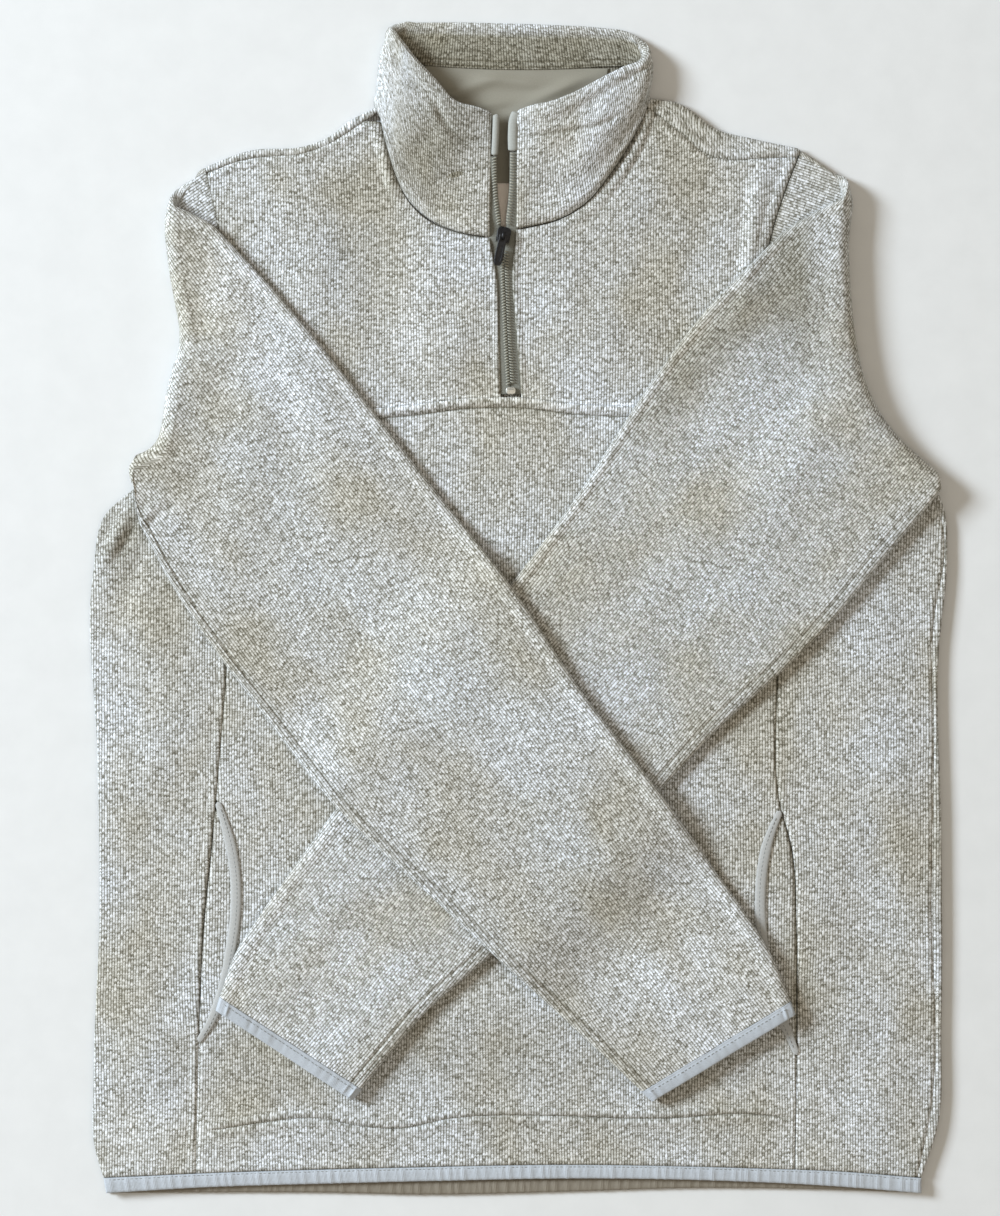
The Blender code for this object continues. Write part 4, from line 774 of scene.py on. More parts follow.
def capped(rings):
    """Faces of stacked rings, closed at both ends."""
    rows, around = rings.shape[:2]
    faces = []
    for i in range(rows - 1):
        for j in range(around):
            k = (j + 1) % around
            faces.append([i * around + j, i * around + k, (i + 1) * around + k, (i + 1) * around + j])
    return faces + [list(range(around))[::-1], [(rows - 1) * around + j for j in range(around)]]


def ring_knit(u, v):
    """Knit coordinates of the sides that capped makes, from a column more of them than a ring has points."""
    spots = np.stack([u, v], axis=-1)
    corners = (spots[:-1, :-1], spots[:-1, 1:], spots[1:, 1:], spots[1:, :-1])
    return np.stack(corners, axis=2).reshape(-1, 2)


def stacked(stacks):
    """One list of points and one of faces from several stacks of rings."""
    points = np.concatenate([rings.reshape(-1, 3) for rings in stacks])
    faces = []
    base = 0
    for rings in stacks:
        faces += [[base + corner for corner in face] for face in capped(rings)]
        base += rings.shape[0] * rings.shape[1]
    return points, faces


# Materials


class Value:
    """One value in a material's nodes, for sums and products."""

    def __init__(self, look, socket):
        self.look = look
        self.socket = socket

    def __add__(self, other):
        return self.look.math("ADD", self, other)

    def __sub__(self, other):
        return self.look.math("SUBTRACT", self, other)

    def __mul__(self, other):
        return self.look.math("MULTIPLY", self, other)

    def __truediv__(self, other):
        return self.look.math("DIVIDE", self, other)


class Looks:
    """Builds one material's nodes."""

    def __init__(self, name):
        self.made = bpy.data.materials.new(name)
        self.made.use_nodes = True
        self.tree = self.made.node_tree

    def node(self, kind, inputs, output, **settings):
        """A node's output, from its settings and its inputs by name or number."""
        made = self.tree.nodes.new(kind)
        for key, value in settings.items():
            setattr(made, key, value)
        self.fill(made, inputs)
        return Value(self, made.outputs[output])

    def fill(self, node, inputs):
        for key, value in inputs.items():
            if isinstance(value, Value):
                self.tree.links.new(value.socket, node.inputs[key])
            else:
                node.inputs[key].default_value = value

    def math(self, operation, first, second=0.0):
        return self.node("ShaderNodeMath", {0: first, 1: second}, 0, operation=operation)

    def sine(self, value):
        return self.math("SINE", value)

    def noise(self, where, scale=1.0, detail=2.0, roughness=0.5):
        """Soft noise at a place, or at a pair of values."""
        if isinstance(where, tuple):
            where = self.node("ShaderNodeCombineXYZ", {0: where[0], 1: where[1]}, 0)
        inputs = {"Vector": where, "Scale": scale, "Detail": detail, "Roughness": roughness}
        return self.node("ShaderNodeTexNoise", inputs, "Fac")

    def ramp(self, value, stops):
        colour = self.node("ShaderNodeValToRGB", {"Fac": value}, "Color")
        points = colour.socket.node.color_ramp.elements
        while len(points) < len(stops):
            points.new(0.5)
        for point, (position, shown) in zip(points, stops):
            point.position = position
            point.color = (*shown, 1.0)
        return colour

    def mix(self, share, first, second, blend="MIX"):
        """A mix of two colours, which are a mix node's inputs 6 and 7. The share may pass 0 and 1."""
        kind = {"data_type": "RGBA", "blend_type": blend, "clamp_factor": False}
        return self.node("ShaderNodeMix", {0: share, 6: first, 7: second}, 2, **kind)

    def tinted(self, colour, attribute, tone):
        """A colour times a tone, as far as an attribute of the mesh says."""
        share = self.node("ShaderNodeAttribute", {}, "Fac", attribute_name=attribute)
        return self.mix(1.0, colour, self.mix(share, (1.0, 1.0, 1.0, 1.0), (*tone, 1.0)), "MULTIPLY")

    def where(self, kind="ShaderNodeTexCoord", output="Object", **settings):
        return self.node(kind, {}, output, **settings)

    def knit_place(self):
        place_on = self.where("ShaderNodeUVMap", "UV", uv_map="knit")
        return [self.node("ShaderNodeSeparateXYZ", {0: place_on}, axis) for axis in "XY"]

    def done(self, colour, rough, shine, height=None, distance=0.0, strength=1.0, sheen=(0.0, 0.5), **inputs):
        """The material, with a relief of a height and the sheen's weight and roughness."""
        inputs = {"Base Color": colour, "Roughness": rough, "Specular IOR Level": shine, **inputs}
        inputs.update({"Sheen Weight": sheen[0], "Sheen Roughness": sheen[1]})
        if height is not None:
            relief = {"Height": height, "Distance": distance, "Strength": strength}
            inputs["Normal"] = self.node("ShaderNodeBump", relief, "Normal")
        self.fill(self.tree.nodes["Principled BSDF"], inputs)
        return self.made


def spread(colour, change, lift=0.0):
    """A darker and a lighter form of a colour."""
    darker = tuple(part * (1 - change) for part in colour)
    return darker, tuple(min(part * (1 + change) + lift, 1) for part in colour)


def knit_look(name):
    """Marled jersey knit: narrow wales of V-shaped stitches in threads that turn from dark to light."""
    look = Looks(name)
    u, v = look.knit_place()
    drift = (look.noise((u * 0.011, v * 0.011), 1.0, 1.0) - 0.5) * 5.0
    column = (u + drift) / WALE
    place_on = look.math("FRACT", column)
    wave = look.sine(place_on * math.pi)
    legs = look.math("ABSOLUTE", look.sine(place_on * (2 * math.pi)))
    along = v + look.math("ABSOLUTE", place_on - 0.5) * (COURSE * 1.1)
    course = look.sine(look.math("FRACT", along / COURSE) * math.pi)
    stitch = (wave * wave * 0.7 + legs * 0.3) * (course * 0.28 + 0.72)
    dash = look.noise((look.math("FLOOR", column) * 7.31, along * 0.5), 1.0, 3.0, 0.72)
    speck = look.noise((u * 0.6, v * 0.36), 1.0, 2.0, 0.6)
    marl = (stitch - 0.5) * 0.52 + (dash - 0.5) * 1.9 + (speck - 0.5) * 0.45 + 0.50
    colour = look.ramp(marl, MARL)
    patch = look.noise((u * 0.0145, v * 0.0105), 1.0, 2.5, 0.5)
    colour = look.mix(1.0, colour, look.ramp(patch, PATCHES), "MULTIPLY")
    # The inside attribute brings painted shade and painted highlight; the seam attribute brings the seams' dark
    # line with painted shade in grooves and under edges.
    colour = look.tinted(look.tinted(colour, "inside", PAINTED_SHADE_TONE), "seam", SEAM_LINE_AND_SHADE_TONE)
    tint = {"Sheen Tint": (0.85, 0.94, 1.0, 1.0)}
    return look.done(colour, 0.92, 0.2, stitch * 0.8 + dash * 0.6, 0.0005, 0.55, (0.16, 0.45), **tint)


def tape_look(name, colour, pitch, deep, sheen=0.2, rough=0.7, across=True):
    """A fine ribbed tape. The ribs run across it."""
    look = Looks(name)
    u, v = look.knit_place()
    place_on, other = (u, v) if across else (v, u)
    rib = look.sine(place_on * (2 * math.pi / pitch))
    weave = rib * look.sine(other * (2 * math.pi / (pitch * 0.8)))
    grain = look.noise((u * 0.9, v * 0.9), 1.0, 3.0, 0.65)
    mark = weave * 0.12 + grain * 0.75 + look.noise((u * 0.05, v * 0.05)) * 0.25
    low, high = spread(colour, deep)
    shown = look.ramp(mark, ((0.25, low), (0.75, high)))
    return look.done(shown, rough, 0.3, rib * 0.3 + grain * 0.6, 0.00022, 0.8, (sheen, 0.4))


def hard_look(name, colour, rough, metal, grain_size=2.5, wear=0.25, shine=0.5):
    """Enamel, nylon or metal with fine scuffs."""
    look = Looks(name)
    where = look.where()
    grain = look.noise(where, 1000 * grain_size, 4.0, 0.7)
    scuff = look.noise(where, 260 * grain_size)
    low, high = spread(colour, wear, 0.01)
    shown = look.ramp(scuff, ((0.3, low), (0.75, high)))
    return look.done(shown, grain * 0.2 + (rough - 0.08), shine, grain, 0.00003, 0.5, Metallic=metal)


# Columns: place on the scale, colour.
MARL = (
    (0.10, (0.115, 0.106, 0.082)),
    (0.36, (0.27, 0.258, 0.218)),
    (0.56, (0.56, 0.556, 0.53)),
    (0.82, (0.92, 0.93, 0.945)),
)
PATCHES = ((0.35, (0.82, 0.79, 0.715)), (0.63, (1.01, 1.04, 1.10)))

KNIT = knit_look("heather_knit")
BINDING = tape_look("pale_grey_binding", (0.46, 0.49, 0.525), 0.9, 0.14)
GARAGE = tape_look("pale_garage", (0.37, 0.375, 0.345), 0.9, 0.12)
CORD_BINDING = tape_look("grey_pocket_tape", (0.44, 0.44, 0.425), 0.9, 0.14)
LINING = tape_look("taupe_lining", (0.285, 0.266, 0.212), 0.7, 0.07, sheen=0.1, rough=0.6)
# The back's hem binding is the binding's own material in a darker, warmer colour, as painted shade where it shows
# below the front's hem.
HEM_BINDING_IN_SHADE = tape_look("hem_binding_painted_shade", (0.235, 0.205, 0.16), 0.9, 0.08, sheen=0.1, rough=0.7)
LABEL = tape_look("blank_label", (0.93, 0.84, 0.76), 0.6, 0.05, sheen=0.1, rough=0.6)
ZIP_TAPE = tape_look("olive_zip_tape", (0.20, 0.198, 0.168), 1.1, 0.3, sheen=0.15, rough=0.8, across=False)
# The thread shares the knit's material and is drawn darker than it, partly as painted shade of the stitches.
THREAD = tape_look("grey_thread", (0.27, 0.28, 0.275), 0.5, 0.15)
COIL = hard_look("olive_zip_coil", (0.36, 0.35, 0.29), 0.36, 0.0)
ENAMEL = hard_look("black_enamel", (0.003, 0.003, 0.004), 0.34, 0.0, wear=0.1, shine=0.32)
STOP = hard_look("pale_stop", (0.60, 0.59, 0.54), 0.38, 0.85)


# Front and back


def hem_between(rows, start, end, share):
    """Points of a hem curve between two places across the garment."""
    hem = Path(rows)
    return hem.at(np.interp(start + (end - start) * share, hem.points[:, 0], hem.shares))


def front_cloth(name, flat, dark, curl=0.0):
    """A piece of the front, from its flat points. Curl brings its edge down."""
    x, y = flat[..., 0], flat[..., 1]
    sheet = raised(flat, front_level(x, y) + seam_relief(x, y) - curl)
    return cloth(f"cloth_{name}", sheet, KNIT, dark=dark, painted_light=FRONT_PAINTED_LIGHT, hides=(name,))


def make_side_front(side, outline):
    across = rim(75, 2.4, (0, 12, 1.0), (62, 75, 0.9))
    rows = rim(520, 2.8, (0, 10, 1.0))
    arm_part = ARM[side].at(across * JUNCTION[side])
    side_line = Path(outline).at(rows)
    seam_line = SEAM[side].at(rows)
    bottom = hem_between(HEM_FRONT, side_line[0, 0], seam_line[0, 0], across)
    flat = coons(bottom, arm_part, side_line, seam_line, across, rows)
    from_side = np.linalg.norm(flat - flat[:, :1], axis=-1)
    dark = faint_seam(flat[..., 0], flat[..., 1]) - ridge(from_side, 0, 1.8, 0.8)
    return front_cloth(f"side_front_{side}", flat, dark, ridge(from_side, 0, 12, 0.7))


def pocket_side(seam, rows, pocket):
    """The edge of the centre front: the seam, and between its ends the pocket's curve."""
    line = seam.at(rows)
    curve = Path(pocket).points
    inside = (line[:, 1] > pocket[0][1]) & (line[:, 1] < pocket[-1][1])
    line[inside, 0] = np.interp(line[inside, 1], curve[:, 1], curve[:, 0])
    return line


def make_centre_front():
    rows = rim(525, 2.8, (0, 8, 1.1), (25, 50, 1.1), (512, 525, 0.9))
    left, right = (pocket_side(SEAM[side], rows, POCKET[side]) for side in POCKET)
    chest = np.concatenate([line.points for line in CHEST.values()])
    across = rim(410, 2.8, (0, 8, 1.1), (402, 410, 1.1))
    bottom = hem_between(HEM_FRONT, left[0, 0], right[0, 0], across)
    flat = coons(bottom, along_line(chest, across), left, right, across, rows)
    x, y = flat[..., 0], flat[..., 1]
    from_ridge, share = Path(HEM_RIDGE).near(x, y)
    # Painted shade below the chest seam's welt and in the hem ridge's groove, and a painted highlight along the
    # welt's top.
    dark = marks(from_line(chest[::3], x, y)[0], ((-6.6, 1.2, 1.1), (-1.2, 3.0, -1.3)))
    dark = dark + ridge(from_ridge, -3.2, 1.3, 0.5) * smooth_step(share, 0.0, 0.05) + faint_seam(x, y)
    return front_cloth("centre_front", flat, dark)


def make_yoke(side):
    """From the armhole to the zip. The chest seam, shoulder and neck all run from the armhole side."""
    chest = CHEST[side].points[:: 1 if side == "left" else -1]
    neck, arm, zip_edge = NECK[side], ARM[side], ZIP_EDGE[side]
    eased = neck.points + 1.1 * unit(neck.points - np.array(NECK_CENTRE))
    across = rim(250, 1.9)
    rows = rim(170, 2.2, (0, 4, 1.0), (154, 170, 1.0))
    top = along_line(np.concatenate([SHOULDER[side].points[:-4], eased[:-3], zip_edge.at(1.0)[None]]), across)
    outer = arm.at(JUNCTION[side] + (1 - JUNCTION[side]) * rows)
    outer[-1] = top[0]
    flat = coons(along_line(chest, across), top, outer, zip_edge.at(rows), across, rows)
    x, y = flat[..., 0], flat[..., 1]
    from_neck = neck.near(x, y)[0]
    # Painted shade along the neck seam under the collar's sides, lightened towards the zip, and a painted highlight
    # along the chest seam.
    beside = smooth_step(y, 665, 700)
    dark = ridge(from_neck, 0, 3.0, 0.9) * beside - ridge(from_neck, 0, 2.0, 0.65) * (1 - beside)
    return front_cloth(f"yoke_{side}", flat, dark - ridge(from_line(chest[::3], x, y)[0], -0.5, 2.2, 1.3))


def make_back():
    """The back lies on the floor and wraps over each shoulder to the shoulder seam on the front."""
    share = np.linspace(0, 1, 44)
    neck = Path(NECK_BACK).at(np.linspace(0, 1, 40))
    top, seam = (
        np.concatenate([Path(left).at(share), neck[1:-1], Path(right).at(share[::-1])])
        for left, right in ((OUTLINE_LEFT, OUTLINE_RIGHT), (SHOULDER_LEFT, SHOULDER_RIGHT))
    )
    from_end = [np.linalg.norm(neck[1:-1] - end, axis=-1) for end in (neck[0], neck[-1])]
    full_wrap = np.full(len(share), 2.0)
    # 2 where the back wraps over the shoulder, and 0 behind the neck
    over = np.concatenate([full_wrap, 2 * (1 - smooth_step(np.minimum(*from_end), 0, 7)), full_wrap])
    turning = np.minimum(over, 1)
    radius = (front_mid(top[:, 0], top[:, 1]) - BACK_MID) / 2
    outward = unit(np.stack([-np.gradient(top[:, 1]), np.gradient(top[:, 0])], axis=-1))
    width = np.sum((top - seam) * outward, axis=-1)
    bend = np.clip(width - WALL / 2 - 0.8, 0.7, radius)
    axis = top - outward * (bend + WALL / 2)[:, None] * turning[:, None]
    rows_side, rows_arm = fine(470, 9.0), np.linspace(0, 1, 67)
    left = np.concatenate([Path(SIDE_LEFT).at(rows_side), ARM["left"].at(rows_arm)[1:]])
    right = np.concatenate([Path(SIDE_RIGHT).at(rows_side), ARM["right"].at(rows_arm)[1:]])
    left[-1], right[-1] = axis[0], axis[-1]
    columns = shares_of(axis)
    rows = (shares_of(left) + shares_of(right)) / 2
    flat = coons(hem_between(HEM_BACK, left[0, 0], right[0, 0], columns), axis, left, right, columns, rows)
    from_side = np.minimum(*(np.linalg.norm(flat - edge, axis=-1) for edge in (flat[:, :1], flat[:, -1:])))
    on_side = (rows < rows[len(rows_side) - 1])[:, None]
    sheet = raised(flat, BACK_MID + ridge(from_side, 0, 8, 0.6) * on_side)
    tail_length = np.maximum(np.sum((axis - seam) * outward, axis=-1), 0.4)
    lead = 3.0 * (1 - turning)
    sheet[-1, :, :2] = axis - outward * lead[:, None]
    half_turn = math.pi * radius
    full = half_turn * turning + tail_length * np.clip(over - 1, 0, 1)
    tail = []
    for step in np.concatenate([np.linspace(0, 1, 21)[1:-1], [0.975, 1.0]]):
        reach = (lead + full) * step - lead
        angle = np.clip(reach, 0, half_turn) / radius
        beyond = np.maximum(reach - half_turn, 0) / tail_length
        spot = axis + outward * (bend * np.sin(angle) + np.minimum(reach, 0))[:, None]
        spot = np.where(reach[:, None] > half_turn[:, None], axis + (seam - axis) * beyond[:, None], spot)
        x, y = spot.T
        level = BACK_MID + radius * (1 - np.cos(angle))
        tail.append(raised(spot, np.where(reach > half_turn, front_level(x, y) + seam_relief(x, y), level)))
    middle = np.concatenate([sheet, np.stack(tail)])
    along = np.concatenate([sheet[..., 1], sheet[-1:, :, 1] + running(middle[len(sheet) - 1 :], 0)[1:]])
    return cloth("cloth_back", middle, KNIT, (middle[..., 0], along), hides=("back",))


# Bindings and pockets


def ripple(along, seed, spacing, rise):
    """Uneven small ridges across a tape, by the distance along it."""
    rng = np.random.default_rng(seed)
    total = np.zeros_like(along)
    place_on = 0.0
    end = along.max()
    while place_on < end:
        place_on += spacing * rng.uniform(0.6, 1.5)
        total += ridge(along, place_on, spacing * 0.24, rise * rng.uniform(0.3, 1.0))
    return total


def make_hem(name, upper, lower, middle, seed, look):
    columns = fine(560, 1.1)
    rows = fine(11, 1.1, (0.25, 0.6, 1.1))
    top = Path(upper).at(columns)
    flat = between(Path(lower).at(columns), top, rows)
    along = running(top[None], 1)
    waves = ripple(along, seed, 6.0, 0.8) * np.sin(np.pi * np.clip(rows, 0, 1))[:, None] ** 0.6
    stitched = ridge(rows[:, None], 0.86, 0.07, -0.5)
    sheet = raised(flat, middle(flat[..., 0], flat[..., 1]) + waves + stitched)
    knit = np.broadcast_arrays(along, rows[:, None] * 10)
    return cloth(
        f"tape_hem_{name}", sheet, look, tuple(knit), thickness=2.8, edge=1.5, hides=(f"hem_binding_{name}",),
    )


def tube_along(name, line, radius_x, radius_z, look, steps, around=14, ends=2.0, **how):
    """A flattened round cord along a line of 3-D points, with tapered round ends."""
    share = np.linspace(0, 1, steps)
    centre = along_line(line, share)
    total = np.linalg.norm(np.diff(line, axis=0), axis=1).sum()
    ahead = unit(np.gradient(centre, axis=0))
    side = unit(np.cross(ahead, UP))
    up = np.cross(side, ahead)
    size = rounded(np.minimum(share, 1 - share) * total, ends, 0.15)
    angle = np.linspace(0, 2 * math.pi, around, endpoint=False)
    rx, rz = radius_x * size, radius_z * size
    rings = centre[:, None] + side[:, None] * (np.cos(angle) * rx[:, None])[..., None]
    rings = rings + up[:, None] * (np.sin(angle) * rz[:, None])[..., None]
    girth = 2 * math.pi * float(np.mean(rx + rz)) / 2
    knit = np.broadcast_arrays((share * total)[:, None], girth * np.arange(around + 1) / around)
    return closed_mesh(name, rings.reshape(-1, 3), capped(rings), look, ring_knit(*knit), **how)


def make_pockets():
    for side, turn in (("left", 1), ("right", -1)):
        pocket, seam = POCKET[side], SEAM[side].points
        curve = Path(pocket).points
        rows = np.linspace(pocket[0][1] + 5, pocket[-1][1] - 5, 64)
        seam_x = np.interp(rows, seam[:, 1], seam[:, 0])
        edge_x = np.interp(rows, curve[:, 1], curve[:, 0])
        wide = np.abs(edge_x - seam_x) > 2.0
        share = np.linspace(0, 1, 12)[None, :]
        x = (seam_x + 0.35 * turn)[wide, None] * (1 - share) + (edge_x - 0.35 * turn)[wide, None] * share
        y = np.broadcast_to(rows[wide, None], x.shape)
        height = front_level(x, y) + seam_relief(x, y) * (1 - share) - 0.5 * share**3
        sheet = np.stack([x, y, height], axis=-1)
        cloth(f"cloth_pocket_facing_{side}", sheet, KNIT, gap=0.0, hides=(f"pocket_facing_{side}",))
        cord = on_front(Path(pocket).at(np.linspace(0, 1, 90)), WALL / 2 + 0.75)
        ends = np.minimum(1, np.minimum(np.linspace(0, 1, 130), np.linspace(1, 0, 130)) / 0.16)
        tube_along(
            f"tape_pocket_{side}", cord, 3.65 * (0.55 + 0.45 * ends), 0.85 * (0.6 + 0.4 * ends), CORD_BINDING, 130,
            hides=(f"pocket_binding_{side}",),
        )


# Sleeves

LOW_END = 0.93  # share of the fold's axis that the lower layer reaches
HIGH_START = 0.085  # share where the upper layer begins
SEAM_CLEAR = 0.5  # how far a sleeve starts from the body
PUFF_FADE = 22.0  # how fast a sleeve comes down after its fold
CUFF_FROM = 0.75  # share of a sleeve's length where it begins to lift towards its cuff
CUFF_PROUD = 0.2  # how far a cuff's tape stands out beyond its sleeve
CUFF_WIDTH = 9.2
SLEEVE_ACROSS = graded(200, 4.2, (0, 11, 1.0), (187, 200, 1.0))
SLEEVE_STEPS = np.concatenate([[0, 0.004, 0.009, 0.015, 0.022, 0.03], np.linspace(0.0345, 1.0, 196)])
ARC = np.radians(range(15, 180, 15))  # turns of the points on a sleeve's round edge
FLAT_ROWS = 16  # sections from the armhole to the fold
FOLD_ROWS = 16  # sections round the fold
TO_FOLD = FLAT_ROWS + FOLD_ROWS
FOLD_TURNS = np.radians(np.linspace(0, 180, FOLD_ROWS + 1)[1:])
CAP_RISE = {-1: 5.0, 1: 0.8}  # how far the head of each sleeve stands out where its fold begins
TIP_RISE = {-1: -2.5, 1: 0.3}  # the same at the outside of the fold
CAP_FADE = 15  # how far in from the upper edge it fades
UNDERARM_AT = (-258, 492)
UNDERARM_SIZE = (17, 21)
UNDERARM_SWELL = 7.0  # how far the left sleeve's fold swells out there
SEAM_DEPTH = {"left": 0.8, "right": 0.65}  # how strongly the underarm seam shows


class Sleeve:
    """A flattened tube from the armhole out to the fold, over, and back across the front to its cuff."""

    def __init__(self, side, arm, fold, upper, lower, under):
        self.side = side
        self.under = under
        axis = Path(fold).offset(-side * (FOLD_RADIUS + SLEEVE_HALF))
        self.start = arm.at(1 - 0.98 * SLEEVE_ACROSS)
        self.start[-1] += (EDGE_ROUND - 1.5) * unit(self.start[-2] - self.start[-1])
        self.across = shares_of(self.start)
        self.low = axis.at(self.across * LOW_END)
        self.high = axis.at(HIGH_START + self.across * (1 - HIGH_START))
        self.along = unit(np.gradient(self.low, axis=0))
        self.outward = np.stack([self.along[:, 1], -self.along[:, 0]], axis=-1) * -side
        self.upper_edge = self.inset_edge(self.high[0], upper, -1)
        self.lower_edge = self.inset_edge(self.high[-1], lower, 1)

    def inset_edge(self, first, rows, turn):
        line = Path(rows).offset(self.side * turn * EDGE_ROUND)
        return Path(np.concatenate([first[None], line.points[::6]]), 6)

    def axis_at(self, turn):
        """The line that the sleeve folds about, which shifts as the fold turns."""
        return self.low + (self.high - self.low) * turn / math.pi

    def folded(self, share):
        """The middle of the sleeve after its fold, at shares of the way to the cuff."""
        upper, lower = self.upper_edge.at(share), self.lower_edge.at(share)
        cuff = upper[-1] + (lower[-1] - upper[-1]) * self.across[:, None]
        return np.swapaxes(coons(upper, lower, self.high, cuff, share, self.across), 0, 1)

    def sections(self):
        """The middle points, the outward directions and the half thicknesses of the sleeve's sections."""
        count = len(self.start)
        level = np.full(count, (FRONT_MID + WALL / 2) / 2)
        first = self.start + SEAM_CLEAR * self.side * unit(self.low - self.start)
        flat_rows = np.linspace(0, 1, FLAT_ROWS)
        middles = [raised(first + (self.low - first) * share, level) for share in flat_rows]
        directions = [np.tile([0.0, 0.0, 1.0], (count, 1))] * FLAT_ROWS
        for turn in FOLD_TURNS:
            flat = self.axis_at(turn) + self.outward * FOLD_RADIUS * math.sin(turn)
            middles.append(raised(flat, level + FOLD_RADIUS * (1 - math.cos(turn))))
            directions.append(raised(-self.outward * math.sin(turn), math.cos(turn)))
        steps = SLEEVE_STEPS
        flat = self.folded(steps)
        x, y = flat[..., 0], flat[..., 1]
        half = SLEEVE_HALF + np.clip(folds(SLEEVE_FOLDS, x, y), -0.55, 2.2) / 2
        resting = self.under(x, y) + LAYER_GAP + half
        lift = CUFF_LIFT * np.clip((steps - CUFF_FROM) / (1 - CUFF_FROM), 0, 1) ** 2
        puff = (middles[-1][:, 2] - resting[0])[None] * np.exp(-steps[:, None] * PUFF_FADE)
        over = raised(flat, resting + puff + lift[:, None])[1:]
        down = np.tile([0.0, 0.0, -1.0], (*over.shape[:2], 1))
        half = np.concatenate([np.full((TO_FOLD, count), SLEEVE_HALF), half[1:]])
        half[:, 0] = half[:, -1] = EDGE_ROUND
        return np.concatenate([middles, over]), np.concatenate([directions, down]), half

    def capped_shoulder(self, middle):
        """The sections up to the fold with their upper edge moved to the rounded head of the sleeve."""
        low, high = CAP_RISE[self.side], TIP_RISE[self.side]
        rounding = (low + high) / 2 + (low - high) / 2 * np.cos(2 * FOLD_TURNS)
        over = np.where(FOLD_TURNS < math.pi / 2, rounding, high * np.sin(FOLD_TURNS))
        rise = np.concatenate([low * np.sin(np.pi / 2 * np.linspace(0, 1, FLAT_ROWS)), over])
        fade = ridge(running(middle[:TO_FOLD], 1), 0, CAP_FADE, 1)
        outward = unit(middle[:TO_FOLD, 0] - middle[:TO_FOLD, 1])
        moved = middle.copy()
        moved[:TO_FOLD] += (rise[:, None] * fade)[..., None] * outward[:, None]
        if self.side < 0:
            away = np.linalg.norm((middle[..., :2] - UNDERARM_AT) / UNDERARM_SIZE, axis=-1)
            moved[..., 0] -= ridge(away, 0, 1, UNDERARM_SWELL)
        return moved

    def knit(self, middle):
        """Knit coordinates of the rings. The fold is opened out flat, so that the wales keep to one heading."""
        opened = middle[..., :2].copy()
        radius = FOLD_RADIUS + SLEEVE_HALF
        for row, turn in enumerate(FOLD_TURNS, FLAT_ROWS):
            opened[row] = self.axis_at(turn) + self.outward * radius * (math.pi - turn)
        away = middle[:FLAT_ROWS, :, :2] - self.low
        beyond = math.pi * radius - np.sum(away * self.outward, axis=-1, keepdims=True)
        level = np.sum(away * self.along, axis=-1, keepdims=True)
        opened[:FLAT_ROWS] = self.low + self.outward * beyond + self.along * level
        heading = unit(opened[-1].mean(axis=0) - opened[TO_FOLD].mean(axis=0))
        v = opened @ heading
        u = opened @ np.array([-heading[1], heading[0]]) * self.side
        arc, part = math.pi * EDGE_ROUND, ARC[None] / math.pi
        first, last = u[:, :1], u[:, -1:]
        way = np.sign(first - last)
        far_side, far_along = 2 * first + way * arc - u, v.copy()
        axis = unit(self.low[-1] - self.low[0])
        before = unit(2 * (heading @ axis) * axis - heading)
        flat = middle[:FLAT_ROWS, :, :2]
        far_along[:FLAT_ROWS] = flat @ before
        far_side[:FLAT_ROWS] = flat @ np.array([-before[1], before[0]])
        across = (far_side, last - way * arc * (1 - part), u[:, ::-1], first + way * arc * part, first + way * arc)
        along = (far_along, v[:, -1:] + 0 * part, v[:, ::-1], v[:, :1] + 0 * part, v[:, :1])
        return np.concatenate(across, axis=1), np.concatenate(along, axis=1)


def tube(middle, direction, half, edge, inward=0.0, top=0.0):
    """Rings round sections of a flattened tube: one side, a round edge, the other side, the other edge."""
    side = direction * (half - inward)[..., None]
    back = middle - side - direction * np.broadcast_to(top, half.shape)[..., None]

    def round_edge(end, beside, turns):
        out = unit(middle[:, end] - middle[:, beside])
        ways = [out * math.sin(turn) + direction[:, end] * math.cos(turn) for turn in turns]
        return np.stack([middle[:, end] + way * (edge - inward) for way in ways], axis=1)

    parts = (middle + side, round_edge(-1, -2, ARC), back[:, ::-1], round_edge(0, 1, ARC[::-1]))
    return np.concatenate(parts, axis=1)


